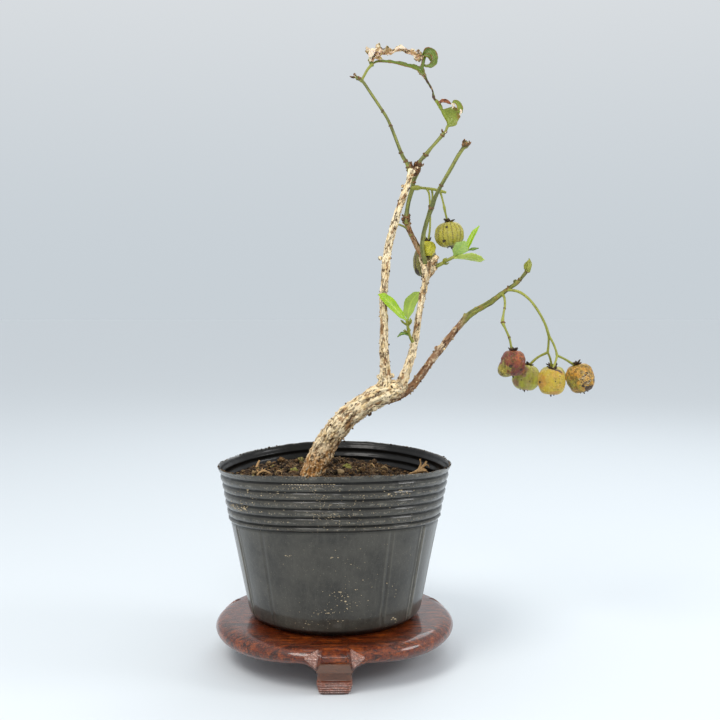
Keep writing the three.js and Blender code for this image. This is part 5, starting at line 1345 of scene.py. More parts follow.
def pot_specks():
    """Flat lumps strewn as bell curves about the middles of POT_DUST, and others all round the ridges."""
    random = np.random.default_rng(12)
    lumps = []
    for px, py, wide, high, count, size in POT_DUST:
        for _ in range(count):
            at = on_pot(px + random.normal() * wide, py + random.normal() * high)
            if at is None:
                continue
            long = random.uniform(0.8, 2.2)
            wide_by = size * math.exp(random.normal(0, 0.35))
            lumps.append(speck(at, wide_by, long, len(lumps), random.random()))
    # Painted highlight: a row of pale specks along the lip.
    row, left, right = LIP_HIGHLIGHT_STREAK
    lumps += [speck(on_pot(px, row), 0.2, 2.6, i, 0.9) for i, px in enumerate(np.linspace(left, right, 18))]
    lumps.append(speck(on_pot(*DUST_LUMP), 0.34, 2.4, 7, 0.9))
    for i in range(160):
        turn = random.uniform(0, 2 * np.pi)
        height = POT_GROOVES[random.integers(0, 6)] + random.choice([0.1, 0.5, 1.4, 2.2])
        reach = float(pot_radius(np.array(height)))
        at = on_wall(turn, height, reach)
        lumps.append(speck(at, random.uniform(0.06, 0.15), random.uniform(1, 3), i, random.random()))
    return joined(lumps)


class BONSAI_OT_pot(bpy.types.Operator):
    """Build the thin pot with its ridged collar and creased wall"""

    bl_idname = "bonsai.pot"
    bl_label = "Pot"

    def execute(self, context):
        s = context.scene.bonsai_pot
        layered_finish(
            "pot_film", s.plastic,
            [
                mottle(s.worn, 0.55, 0.07, 0.3, 0.65, rough=0.38),
                mottle(s.worn, 0.25, 0.6, 0.45, 0.7, height=0.02, rough=0.4),
                # Painted highlight: pale film streaks on the swells beside each crease.
                streaks(s.film, 0.5, 0.6, 0.3, 0.6, ("skin", 2, 0.1, 1.1), rough=0.2),
                streaks(s.worn, 0.35, 0.45, 0.5, 0.7, stretch=(1, 1, 0.4)),
                mottle(s.film, 0.4, 0.35, 0.5, 0.66, ("skin", 0, 0.88, 1.0), stretch=(1, 1, 2.4)),
                mottle(s.film, 0.3, 2.1, 0.62, 0.68, rough=0.8),
                mottle(s.dust, 0.65, 1.6, 0.6, 0.65, ("skin", 0, 0.86, 0.98), height=0.05, rough=0.8),
                mottle(s.dust, 0.5, 1.3, 0.68, 0.72, rough=0.8),
                streaks(s.film, 0.3, 1.5, 0.68, 0.75, stretch=(0.25, 0.25, 30.0)),
                # Painted shade: near black in the grooves between the bands, round the foot and over the whole
                # inside.
                tint(s.inner, 0.85, ("skin", 0, 0.8, 0.35), rough=0.3, coat=0.1),
                tint(s.inner, 0.97, ("skin", 1, 0.2, 0.8), rough=0.3, coat=0.1),
            ],
            roughness=0.28, gloss=(0.22, 0.5, 0.08),
        )
        layered_finish("pot_dust_and_highlight", s.dust, [mottle(s.worn, 0.6, 2.0, 0.46, 0.6)], roughness=0.95)
        wall = pot_surface(s.wall / MM, s.crease / MM)
        new_piece("pot_thin_walled", wall, "pot_film", "pot")
        new_piece("pot_specks", pot_specks(), "pot_dust_and_highlight")
        return {"FINISHED"}


# Soil


def soil_height(x, y):
    """Level on the left, rising a little to the back and falling away to the right, with a low mound."""
    mound = np.exp(-((x + 14) ** 2 + (y - 10) ** 2) / 320)
    return SOIL_LEVEL + 0.05 * y - 0.12 * np.maximum(x - 4, 0) + mound


def crumb_relief(x, y, size, seed):
    """Half balls packed close: about random points of a square net of side size, the height is the root of
    1 - (distance / radius)^2, and the nearest one counts."""
    best = np.zeros_like(x)
    tone = np.zeros_like(x)
    cell_x, cell_y = np.floor(x / size), np.floor(y / size)
    for step_x, step_y in product((-1, 0, 1), repeat=2):
        key = np.stack([(cell_x + step_x) * 3.7, (cell_y + step_y) * 5.3, 0 * x + seed], -1)
        shift = [noise(key + k * 11.1, seed + k) for k in range(3)]
        away_x = x - (cell_x + step_x + 0.5 + 0.55 * shift[0]) * size
        away_y = y - (cell_y + step_y + 0.5 + 0.55 * shift[1]) * size
        radius = size * (0.62 + 0.22 * shift[2])
        rise = np.sqrt(np.clip(1 - (away_x**2 + away_y**2) / radius**2, 0, 1)) * radius
        tone = np.where(rise > best, shift[2] * 0.5 + shift[0] * 0.5, tone)
        best = np.maximum(best, rise)
    return best, tone


def soil_surface():
    """The filling: a plain underside and wall, and a top at soil_height with two sizes of crumb_relief and a
    little noise."""
    turn = np.radians(np.arange(0, 360, 1.5))
    shares = np.linspace(1, 0.02, 88)
    edge = pot_cone(SOIL_LEVEL - POT_FOOT - 3.9) - 1.45
    x, y = (edge * shares[:, None] * f(turn) for f in (np.cos, np.sin))
    coarse, tone = crumb_relief(x, y, 3.1, 1)
    fine, tone_fine = crumb_relief(x, y, 1.3, 2)
    near_edge = smooth_step(shares, 1.0, 0.97)[:, None]
    crumbs = 0.55 * coarse + 0.55 * fine
    uneven = 0.2 * rough(np.stack([x, y, 0 * x], -1), 2, 6)
    z = soil_height(x, y) + (crumbs - 1.2) * near_edge + uneven
    # Painted shade: the gap mark darkens the low places between the crumbs.
    gap = 1 - smooth_step(crumbs, 0.4, 1.1)
    walls = [(30.2, POT_FOOT + 1.3), (edge - 8.6, POT_FOOT + 4.3), (edge - 3.7, POT_FOOT + 30)]
    lower = np.array([[(r * math.cos(a), r * math.sin(a), h) for a in turn] for r, h in walls])
    rings = np.concatenate([lower, np.stack([x, y, z], -1)])
    mark = np.stack([0.5 + 0.5 * tone, 0.5 + 0.5 * tone_fine, gap], -1)
    mark = np.concatenate([np.zeros_like(lower), mark])
    return lathe(rings, [(0, 0, POT_FOOT + 1.3), (0, 0, soil_height(0.0, 0.0))], soil=mark)


def soil_crumbs(count, size):
    """Loose lumps strewn over the soil, more of them against the wall, each with a random tone."""
    random = np.random.default_rng(5)
    edge = pot_cone(SOIL_LEVEL - POT_FOOT) - CRUMBS_INSIDE
    lumps = []
    for i in range(count):
        share = random.uniform(0, 1) ** 0.42
        turn = random.uniform(0, 2 * np.pi)
        x, y = share * edge * math.cos(turn), share * edge * math.sin(turn)
        if math.hypot(x - TRUNK_FOOT[0], y - TRUNK_FOOT[1]) < 5.6:
            continue
        radius = size * math.exp(random.normal(0, 0.45))
        squash = (1, random.uniform(0.6, 1), random.uniform(0.5, 0.95))
        at = (x, y, soil_height(x, y) + radius * random.uniform(-0.1, 0.6))
        lump = ball((0, 0, 0), radius, 7, 4, squash, 0.55, i, random.random())
        lump.points = leaned(lump.points, random.uniform(-0.8, 0.8, 2)) + at
        lumps.append(lump)
    return joined(lumps)


def soil_fibres():
    """Fine dry roots: short arched stems on the soil, and the straws that stand out of it."""
    random = np.random.default_rng(8)
    lines = list(STRAWS)
    for _ in range(46):
        turn, reach = random.uniform(0, 2 * np.pi), 38 * random.uniform(0.1, 1) ** 0.5
        x, y = reach * math.cos(turn), reach * math.sin(turn)
        way = random.uniform(0, 2 * np.pi)
        long, rise = random.uniform(1.5, 4.5), random.uniform(0.2, 1.4)
        dx, dy = long * math.cos(way), long * math.sin(way)
        z = soil_height(x, y)
        thick = random.uniform(0.12, 0.3)
        top, tip = (x + dx / 2, y + dy / 2, z + rise, thick), (x + dx, y + dy, z - 0.2, thick * 0.7)
        lines.append([(x, y, z, thick), top, tip])
    inside = [line for line in lines if math.hypot(line[-1][0], line[-1][1]) < 41]
    return joined([stem(line, 6, 4, 0.05, seed=i) for i, line in enumerate(inside)])


class BONSAI_OT_soil(bpy.types.Operator):
    """Build the crumbly soil and what lies on it"""

    bl_idname = "bonsai.soil"
    bl_label = "Soil"

    def execute(self, context):
        s = context.scene.bonsai_soil
        grain = [
            mottle(s.tan, 0.65, 1.7, 0.54, 0.62, height=0.1),
            mottle(s.dark, 0.9, 1.2, 0.5, 0.6, height=-0.15),
        ]
        layered_finish(
            "soil_earth", s.earth,
            [
                tint(s.orange, 0.5, ("soil", 0, 0.5, 0.75)),
                tint(s.tan, 0.4, ("soil", 1, 0.66, 0.85)),
                *grain,
                # Painted shade in the gaps between the crumbs.
                tint(s.dark, 0.97, ("soil", 2, 0.1, 0.65)),
            ],
            roughness=0.95, gloss=(0.3, 0.0, 0.1),
        )
        layered_finish(
            "soil_crumb", s.earth,
            [
                tint(s.orange, 0.85, ("tone", 0, 0.45, 0.65)),
                tint(s.tan, 0.75, ("tone", 0, 0.84, 0.9)),
                tint(s.moss, 0.7, ("tone", 0, 0.965, 0.98)),
                tint(s.dark, 0.9, ("tone", 0, 0.4, 0.15)),
                *grain,
            ],
            roughness=0.95, gloss=(0.3, 0.0, 0.1),
        )
        layered_finish(
            "moss_cushion", s.moss,
            [
                Layer("Flecks", s.tan, 0.6, Scale=1.6, Size=0.35, Share=0.4, height=0.12),
                mottle(s.dark, 0.7, 1.1, 0.5, 0.66, height=-0.15),
            ],
            roughness=0.9, gloss=(0.3, 0.0, 0.1),
        )
        layered_finish(
            "dry_root", s.root,
            [
                mottle(s.tan, 0.7, 1.6, 0.45, 0.6),
                mottle(s.earth, 0.8, 0.9, 0.5, 0.64, height=-0.1, stretch=(1, 1, 0.5)),
            ],
            place="place", roughness=0.9,
        )
        layered_finish(
            "stone", s.tan, [Layer("Flecks", s.earth, 0.6, Scale=1.8, Size=0.3, Share=0.4)], roughness=0.8
        )
        new_piece("soil_filling", soil_surface(), "soil_earth", "soil")
        new_piece("pot_rim_grit", rim_grit(), "soil_crumb")
        new_piece("soil_crumbs", soil_crumbs(s.crumbs, s.crumb_size / MM), "soil_crumb")
        new_piece("soil_fibres", soil_fibres(), "dry_root")
        moss = [ball(MOSS, 2.0, 40, 22, (1, 1, 0.75), 0.3, 2)]
        random = np.random.default_rng(3)
        for i in range(40):
            way = unit(random.normal(size=3) * [1, 1, 0.5] + [0, 0, 0.6])
            moss.append(ball(MOSS + way * 1.7, 0.42, 6, 3, (1, 1, 1), 0.4, i))
        new_piece("moss_cushion", joined(moss), "moss_cushion", "moss_tuft")
        green = ball(GREEN_LUMP, 1.7, 32, 18, (1, 0.9, 0.8), 0.35, 5)
        new_piece("green_lump", green, "moss_cushion", "green_crumb")
        pebble = ball(PEBBLE, 1.8, 32, 18, (1, 0.9, 0.7), 0.15, 7)
        new_piece("pebble_pale", pebble, "stone", "pebble")
        right = joined([stem(rows, 12, 8, 0.22, 0.06, seed=5 + i) for i, rows in enumerate(ROOT_RIGHT)])
        roots = {
            "root_arch": ("root_arched", stem(ROOT_ARCH, 10, 8, 0.12, seed=3)),
            "root_left": ("root_at_left", stem(ROOT_LEFT, 10, 8, 0.12, seed=4)),
            "root_right": ("root_at_right", right),
        }
        for node, (name, root) in roots.items():
            new_piece(name, root, "dry_root", node)
        return {"FINISHED"}


# Wood


def unrolled(points):
    """Each point's place round and along the nearest stem, (r cos a, r sin a, s), where each stem's s
    starts 90 further on than the one before, and the stem's number."""
    rows = []
    for i, stem_rows in enumerate(WOOD):
        line = smooth_line(stem_rows, 10)
        way, side = carried_frames(line[:, :3], (0.3, -1, 0.2))
        run = np.concatenate([[0], np.cumsum(np.linalg.norm(np.diff(line[:, :3], axis=0), axis=1))])
        rows.append((line[:, :3], way, side, run, line[:, 3], np.full(len(line), i)))
    centre, along, across, length, radius, number = map(np.concatenate, zip(*rows))
    nearest = np.concatenate([
        np.argmin(np.linalg.norm(chunk[:, None] - centre, axis=2) - radius, axis=1)
        for chunk in np.array_split(points, len(points) // 4000 + 1)
    ])
    away = points - centre[nearest]
    way, side = along[nearest], across[nearest]
    other = np.cross(way, side)
    place = np.stack([(away * side).sum(1), (away * other).sum(1), length[nearest] + (away * way).sum(1)], -1)
    place[:, 2] += number[nearest] * 90
    return place, number[nearest]


def wood_surface(voxel):
    """Trunk, branches and knots under one skin, which bark relief then raises along its normals: noise of the
    unrolled place, stretched along the stem, and of the place itself."""
    parts = [stem(TRUNK, 24, 8, 0.16, seed=0)]
    parts += [stem(rows, 16, 8, 0.1, seed=i + 1) for i, rows in enumerate(WOOD[1:])]
    parts += [ball(knot[:3], knot[3], 12, 8, (1, 1, 1), 0.25, i) for i, knot in enumerate(KNOTS)]
    skin = fused(joined(parts), voxel)
    place, number = unrolled(skin.points)
    normals = skin.normals()
    low = smooth_step(skin.points[:, 2], 96, 70)
    right = number == RIGHT
    green = right * smooth_step(skin.points[:, 0], 46, 58)
    flakes = rough(place * [0.95, 0.95, 0.34], 3, 21)
    pits = noise(skin.points * 1.5, 31)
    height = ((0.19 + 0.12 * low) * flakes + 0.13 * pits) * (1 - 0.8 * green)
    skin.points = skin.points + normals * height[:, None]
    # Painted shade: shade is high where the skin faces down.
    shade = smooth_step(-normals[:, 2] + 0.25 * flakes, 0.1, 0.9)
    middle = np.where((number >= MIDDLE) & (number < RIGHT), 0.35, 0.0)
    dense = np.where(number == LEFT, smooth_step(np.abs(skin.points[:, 2] - 132) - 18, 10, 0) * 0.4, middle)
    # The first bark mark: golden bark towards the soil and denser flecks on some branches, mixed with painted
    # shade on the undersides.
    aged_and_shaded = np.clip(0.85 * low + 0.4 * shade + dense, 0, 1)
    # Painted shade and highlight: the relief mark is low on the raised flakes and high in the grooves of the
    # raised skin, so the finish darkens the grooves and pales the flakes.
    groove = 0.5 - 0.5 * (flakes + 0.6 * pits) * (1 - green)
    skin.marks = {
        "place": place,
        "bark": np.stack([aged_and_shaded, right * (1 - green), green], -1),
        "relief": np.stack([groove, 0 * groove, 0 * groove], -1),
    }
    return skin


def bark_lumps(skin, count):
    """Small lumps of bark at random points of the skin, none of them on the green part of the right branch,
    and one larger lump under the trunk."""
    random = np.random.default_rng(17)
    normals = skin.normals()
    lumps = []
    for i in random.integers(0, len(skin.points), count):
        if skin.marks["bark"][i, 2] > 0.3 or skin.points[i, 2] < SOIL_LEVEL:
            continue
        size = random.uniform(0.18, 0.42)
        at = skin.points[i] + normals[i] * size * 0.35
        lumps.append(ball(at, size, 6, 4, random.uniform(0.7, 1.3, 3), 0.45, int(i) % 97, random.random()))
    under = skin.points[np.argmin(np.linalg.norm(skin.points - LUMP_UNDER_TRUNK, axis=1))]
    lumps.append(ball(under, 0.85, 12, 8, (1, 1, 1.2), 0.4, 3, 0.1))
    return joined(lumps)


def nodes(rows, shares, seed):
    """Swollen rings with small scales at shares of a stem's length, where leaves have dropped."""
    line = smooth_line(rows, 8)
    parts = []
    for i, share in enumerate(shares):
        row = round(share * (len(line) - 1))
        at, reach = line[row, :3], line[row, 3]
        way = line[min(row + 1, len(line) - 1), :3] - line[max(row - 1, 0), :3]
        parts.append(ball(at, reach * 1.16, 14, 8, (1, 1, 0.7), 0.35, seed + i))
        parts += scales(at, way, 2, reach * 0.9, reach * 0.5, seed + i, 0.5, reach * 0.9)
    return parts


def scales(at, direction, count, length, wide, seed, spread, start):
    """Bud scales: small pointed blades that stand round a direction, leaning out by spread."""
    random = np.random.default_rng(seed)
    direction = unit(np.array(direction, float))
    side = unit(np.cross(direction, (0.2, 0.9, 0.3)))
    other = np.cross(direction, side)
    parts = []
    for i in range(count):
        turn = 2.4 * i + random.uniform(-0.3, 0.3)
        out = side * math.cos(turn) + other * math.sin(turn)
        lean = spread * random.uniform(0.5, 1.3)
        foot = np.array(at) + out * start + direction * random.uniform(-0.2, 0.3) * length
        tip = foot + (direction + out * lean) * length * random.uniform(0.8, 1.15)
        line = [foot, (foot + tip) / 2 + out * 0.12 * length, tip]
        half = [wide * 0.8, wide, wide * 0.35]
        parts.append(
            blade(dict(line=line, half=half, face=out, bend=[50, 45, 20], teeth=0, thick=0.22), 8, 4)
        )
    return parts


def green_finish(name, base, lit, dark):
    """Smooth green bark, lit yellow along one side, with fine dark lengthwise streaks and pale dots."""
    layered_finish(
        name, base,
        [
            streaks(lit, 0.8, 0.9, 0.42, 0.62),
            mottle(lit, 0.4, 0.8, 0.5, 0.7),
            mottle(dark, 0.6, 0.45, 0.54, 0.7),
            mottle(dark, 0.6, 1.9, 0.6, 0.68, height=0.05, stretch=(1, 1, 0.5)),
        ],
        place="place", roughness=0.45, gloss=(0.5, 0.0, 0.1),
    )


class BONSAI_OT_wood(bpy.types.Operator):
    """Build the trunk and branches under one skin of flecked bark"""

    bl_idname = "bonsai.wood"
    bl_label = "Trunk and branches"

    def execute(self, context):
        s = context.scene.bonsai_wood
        layered_finish(
            "flecked_bark", s.bark,
            [
                mottle(s.bark_pale, 0.85, 0.5, 0.4, 0.54, stretch=(1, 1, 0.5)),
                tint(s.bark_red, 0.85, ("bark", 1, 0.2, 0.9)),
                # Painted shade on the undersides, with the golden bark towards the soil.
                tint(s.bark_gold_and_shade, 0.8, ("bark", 0, 0.3, 0.95)),
                mottle(s.bark_pale, 0.5, 1.0, 0.56, 0.62, ("bark", 1, 0.2, 0.9), stretch=(1, 1, 0.5)),
                mottle(s.bark_tan, 0.85, 0.6, 0.52, 0.6, height=-0.12, stretch=(1, 1, 0.36)),
                # Painted shade in the grooves of the bark's relief.
                tint(s.bark_dark, 0.65, ("relief", 0, 0.66, 0.95)),
                wrinkles(
                    s.bark_dark, 0.6, 0.4, 0.8, 0.98, ("bark", 2, 0.6, 0.2), height=-0.25, stretch=(1, 1, 0.3)
                ),
                # Painted highlight on the raised flakes of the bark's relief.
                tint(s.bark_pale, 0.75, ("relief", 0, 0.42, 0.12)),
                tint(s.bark_red, 0.38, ("bark", 1, 0.2, 0.9)),
                mottle(s.bark_dark, 0.85, 1.05, 0.58, 0.63, height=-0.2, stretch=(1, 1, 0.34)),
                # Where the first bark mark is high, more painted shade on the undersides: more gold and extra
                # dark flecks.
                tint(s.bark_gold_and_shade, 0.45, ("bark", 0, 0.25, 0.9)),
                mottle(
                    s.bark_dark, 0.9, 0.8, 0.52, 0.58, ("bark", 0, 0.1, 0.8), height=-0.2, stretch=(1, 1, 0.4)
                ),
                mottle(
                    s.bark_pale, 0.75, 1.1, 0.54, 0.6, ("bark", 0, 0.3, 0.8), height=0.1, stretch=(1, 1, 0.5)
                ),
                tint(s.twig, 0.95, ("bark", 2, 0.15, 0.65)),
                streaks(s.twig_lit, 0.85, 0.7, 0.42, 0.58, ("bark", 2, 0.1, 0.7)),
                mottle(s.bark_tan, 0.5, 0.5, 0.54, 0.64, ("bark", 2, 0.1, 0.7)),
                mottle(s.bark_red, 0.5, 0.9, 0.6, 0.67, ("bark", 2, 0.1, 0.7), stretch=(1, 1, 0.4)),
            ],
            place="place", roughness=0.8, gloss=(0.4, 0.0, 0.1),
        )
        green_finish("green_bark", s.twig, s.twig_lit, s.bark_dark)
        green_finish("fruit_stalk", s.stalk, s.stalk_lit, s.stalk_dark)
        layered_finish(
            "bud_scale", s.bud,
            [
                mottle(s.bark_tan, 0.8, 0.5, 0.48, 0.56),
                mottle(s.bark_pale, 0.8, 0.42, 0.55, 0.6),
                mottle(s.bark_dark, 0.9, 1.2, 0.52, 0.6, height=-0.1),
            ],
            place="place", roughness=0.75,
        )
        layered_finish(
            "leaf_scar", s.scar, [mottle(s.bark_tan, 0.8, 0.9, 0.5, 0.58)], roughness=0.7
        )
        layered_finish(
            "bark_crumb", s.bark,
            [
                tint(s.bark_dark, 0.95, ("tone", 0, 0.7, 0.3)),
                tint(s.bark_tan, 0.8, ("tone", 0, 0.8, 0.95)),
            ],
            roughness=0.85,
        )
        layered_finish("cut_wood", s.bark, [mottle(s.bark_dark, 0.8, 0.9, 0.5, 0.58)], roughness=0.8)
        skin = wood_surface(s.voxel / MM)
        new_piece("tree_wood", skin, "flecked_bark", "trunk_and_branches")
        new_piece("bark_lumps", bark_lumps(skin, 420), "bark_crumb")
        new_piece("cut_face", ball(SAWN_END, 1.2, 24, 12, (1, 0.8, 0.8), 0.08, 2), "cut_wood")
        return {"FINISHED"}


class BONSAI_OT_twigs(bpy.types.Operator):
    """Build the green twigs, fruit stalks, shoots and buds"""

    bl_idname = "bonsai.twigs"
    bl_label = "Twigs, stalks and buds"

    def execute(self, context):
        twigs = {
            "twig_top_left": [TWIG_TOP_LEFT],
            "twig_top_right": [TWIG_TOP_RIGHT, TWIG_SPUR],
            "twig_long": [TWIG_LONG],
        }
        stalks = {
            "fruit_stalk_upper": UPPER_STALKS,
            "fruit_stalk_left": LEFT_STALKS,
            "fruit_stalk_right": RIGHT_STALKS,
            "shoot_middle": [MIDDLE_SHOOT],
            "shoot_upper": [UPPER_SHOOT],
        }
        for lines, finish, slot in ((twigs, "green_bark", "green_bark"), (stalks, "fruit_stalk", "stalk")):
            for number, (node, stems) in enumerate(lines.items()):
                parts = [stem(rows, 12, 8, 0.05, 0.02, seed=number * 5 + i) for i, rows in enumerate(stems)]
                new_piece(node + "_grown", joined(parts), finish, node)
        woody = [(x, y, z, radius + 0.06) for x, y, z, radius in TWIG_TOP_RIGHT[:6]]
        sleeve = stem(woody, 16, 8, 0.12, seed=41)
        sleeve.marks["bark"] = np.tile((0.4, 0.7, 0.0), (len(sleeve.points), 1))
        sleeve.marks["relief"] = np.full((len(sleeve.points), 3), 0.55)
        new_piece("twig_top_right_bark", sleeve, "flecked_bark")
        rings = [part for row in TWIG_NODES for part in nodes(*row)]
        new_piece("twig_nodes", joined(rings), "leaf_scar")
        knot = [part for row in BUD_SCALES for part in scales(*row)]
        knot.append(ball(*TIP_BUD, 24, 14, (1, 1.1, 1.1), 0.4, 12))
        new_piece("bud_scales", joined(knot), "bud_scale")
        bud = [stem(POINTED_BUD, 20, 8, 0.05), *scales(*POINTED_SCALES)]
        new_piece("bud_pointed", joined(bud), "fruit_stalk", "bud_right")
        bracts = [part for row in SHOOT_BRACTS for part in scales(*row)]
        new_piece("shoot_bracts", joined(bracts), "fruit_stalk")
        return {"FINISHED"}


# Capsules


def leaned(points, lean):
    """Points turned about Y and then about X."""
    (c, s), (d, t) = ((math.cos(a), math.sin(a)) for a in lean)
    x, y, z = points[..., 0] * c + points[..., 2] * s, points[..., 1], points[..., 2] * c - points[..., 0] * s
    return np.stack([x, y * d - z * t, y * t + z * d], -1)


def capsule(
    at, wide, tall, turn, seed, lean=(0, 0), lobes=5, furrow=0.07, blunt=0.8, swelling=None, patches=(),
    blister=0.16
):
    """A ribbed ball with blunt shoulders: its radius is half the width times the sine of the polar angle to
    the power blunt, less furrow times 1 - |cos(lobes a / 2)| between lobes that differ in size, plus lumps
    of noise as high as blister says. swelling is a ball, (x, y, z, radius), that pushes the skin out."""
    own = np.random.default_rng(seed + 60).uniform(-0.08, 0.04, lobes)
    down = np.pi * (np.arange(1, 104) / 104)[:, None]
    angle = np.linspace(0, 2 * np.pi, 156, endpoint=False)
    crest = np.abs(np.cos(lobes * angle / 2))
    lobe = np.round(lobes * angle / (2 * np.pi)).astype(int) % lobes
    way = np.stack([np.sin(down) * np.cos(angle), np.sin(down) * np.sin(angle), np.cos(down) + 0 * angle], -1)
    valley = (1 - crest) ** 0.8 * furrow * np.sin(down) ** 0.3
    reach = wide / 2 * np.sin(down) ** blunt * (1 - valley + own[lobe] * crest)
    dimple = 0.05 * tall * np.exp(-((np.sin(down) / 0.45) ** 2)) * np.tanh(6 * np.cos(down))
    lumps = 0.3 * noise(way * 1.6 + seed * 9.7, seed + 7) + rough(way * 3.4 + seed * 5.1, 3, seed) * blister
    reach = reach + lumps * np.sin(down)
    z = tall / 2 * np.sign(np.cos(down)) * np.abs(np.cos(down)) ** (blunt + 0.1) - dimple + 0 * angle
    spun = angle + math.radians(turn)
    points = np.stack([reach * np.cos(spun), reach * np.sin(spun), z], -1)
    if swelling:
        centre, size = np.array(swelling[:3]), swelling[3]
        inside = size - np.linalg.norm(points - centre, axis=-1)
        points = points + unit(points) * np.clip(inside, 0, None)[..., None] * 0.85
    facing = unit(leaned(points, lean))
    paint = np.zeros(points.shape)
    blotch = 0.6 * rough(facing * 3.1 + seed, 3, seed + 40)
    for right, up, wide_angle, channel in patches:
        toward = np.array([right, -math.sqrt(max(0.0, 1 - right**2 - up**2)), up])
        away = np.arccos(np.clip(facing @ toward, -1, 1)) + blotch * wide_angle
        soft = 0.7 if channel == 1 else 0.35
        paint[..., channel] = np.maximum(
            paint[..., channel], smooth_step(away, wide_angle, soft * wide_angle)
        )
    skin = np.stack([crest + 0 * down, z / (tall / 2), blotch + 0.5], -1)
    ends = leaned(np.array([[0, 0, 0.45 * tall], [0, 0, -0.45 * tall]]), lean) + at
    return lathe(leaned(points, lean) + at, ends, paint=paint, skin=skin)


def calyx(at, tall, lean, radius, seed):
    """Eight short dry teeth that stand up round a small dark disc, and the nub left by the flower below."""
    random = np.random.default_rng(seed + 30)
    top = np.array([0, 0, 0.45 * tall])
    parts = [ball(top, radius * 0.6, 14, 6, (1, 1, 0.5), 0.3, seed)]
    for i in range(8):
        turn = 2 * np.pi * i / 8 + 0.3 * seed
        out = np.array([math.cos(turn), math.sin(turn), 0]) * radius * random.uniform(0.7, 1.1)
        rise = random.uniform(0.3, 1.7)
        line = [top + out * 0.2, top + out * 0.75 + [0, 0, 0.5 * rise], top + out * 1.2 + [0, 0, rise]]
        half = [0.4 * radius, 0.32 * radius, 0.08]
        spec = dict(line=line, half=half, face=(0, 0, 1), bend=[10, 40, 20], teeth=0, thick=0.3, crumple=0.15)
        parts.append(blade(spec, 8, 6))
    foot = -0.46 * tall
    parts.append(stem([(0, 0, foot, 0.4), (0.1, 0, foot - 0.5, 0.25), (0.2, 0, foot - 0.8, 0.1)], 8, 4, 0.05))
    for i in range(3):
        x, y = random.uniform(-0.14, 0.14, 2) * tall
        parts.append(ball((x, y, -0.45 * tall), 0.28, 6, 4, (1, 1, 1.3), 0.3, i))
    whole = joined(parts)
    whole.points = leaned(whole.points, lean) + at
    return whole


class BONSAI_OT_capsules(bpy.types.Operator):
    """Build the eight ribbed seed capsules"""

    bl_idname = "bonsai.capsules"
    bl_label = "Capsules"

    def execute(self, context):
        s = context.scene.bonsai_capsules
        looks = {
            "red": (0.2, 0.65, 0.0),
            "green": (0.25, 0.0, 0.0),
            "olive": (0.6, 0.0, 0.0),
            "shade": (1.0, 0.0, 0.0),
            "lemon": (0.1, 0.0, 0.0),
            "yellow": (0.15, 0.0, 0.0),
            "brown": (0.3, 0.6, 1.0),
        }
        for kind, (stripe, wrinkle, crackle) in looks.items():
            base, blush, pale = (getattr(s, f"{kind}_{part}") for part in CAPSULE_PARTS)
            coats = [
                mottle(blush, 0.5, 0.4, 0.42, 0.62, height=0.12),
                mottle(pale, 0.45, 0.8, 0.48, 0.64, height=0.1),
                mottle(s.furrow, 0.25, 1.2, 0.54, 0.68, height=-0.06),
                tint(blush, 0.85, ("paint", 0, 0.05, 0.95)),
                tint(pale, 0.85, ("paint", 2, 0.05, 0.95)),
                tint(s.furrow, stripe, ("skin", 0, 0.4, 0.0), height=-0.05),
                tint(s.furrow, stripe * 0.6, ("skin", 0, 0.93, 1.0)),
            ]
            if wrinkle:
                coats += [
                    mottle(s.rot, wrinkle, 0.8, 0.52, 0.62, height=-0.25),
                    wrinkles(s.rot, wrinkle * 0.5, 0.7, 0.75, 1.0, ("paint", 2, 0.6, 0.1), height=-0.15),
                    # Painted highlight: cream on the crackled pale patch.
                    mottle(
                        s.cream_highlight, 1.2 * wrinkle * crackle, 0.8, 0.5, 0.58, ("paint", 2, 0.3, 0.9), height=0.25,
                        rough=0.2,
                    ),
                    wrinkles(
                        s.rot, crackle, 0.42, 0.62, 0.9, ("paint", 2, 0.3, 0.9), height=-0.3,
                        stretch=(1, 1, 1.8),
                    ),
                ]
            coats += [
                mottle(s.rot, 0.6, 1.3, 0.63, 0.67, height=-0.05),
                tint(s.rot, 0.92, ("paint", 1, 0.3, 0.7), height=-0.15, rough=0.6),
            ]
            layered_finish("capsule_" + kind, base, coats, roughness=0.4, gloss=(0.5, 0.1, 0.25), thin=0.1)
        layered_finish("dry_calyx", s.calyx, [mottle(s.calyx_tan, 0.7, 1.1, 0.5, 0.6)], roughness=0.85)
        for number, (node, spec) in enumerate(CAPSULES.items()):
            form = {key: value for key, value in spec.items() if key not in ("finish", "slot")}
            body = capsule(seed=number, **form)
            new_piece(node + "_skin", body, spec["finish"], node)
            size = 1.9 if spec["wide"] > 8 else 1.2
            crown = calyx(np.array(spec["at"]), spec["tall"], spec.get("lean", (0, 0)), size, number)
            new_piece(node + "_calyx", crown, "dry_calyx")
        return {"FINISHED"}


# Leaves


def leaf_finish(kind, s, thin=0.15, rib=0.75, dead=0.0):
    """A blade: blotches, light midrib and side veins, and a few blemishes. rib is how clearly the midrib
    shows, and dead how brown the rim is."""
    layered_finish(
        "leaf_" + kind, getattr(s, kind),
        [
            mottle(getattr(s, kind + "_edge"), 0.45, 0.4, 0.45, 0.65),
            tint(s.midrib, 0.4 * rib, ("leaf", 2, 0.75, 1.0), height=0.03),
            mottle(s.umber, 0.6, 0.9, 0.64, 0.7),
            tint(s.midrib, rib, ("leaf", 0, 0.84, 0.98)),
            mottle(s.rust, dead, 0.5, 0.4, 0.55, ("leaf", 0, 0.4, 0.1)),
        ],
        place="place", roughness=0.42, gloss=(0.5, 0.1, 0.2), thin=thin,
    )


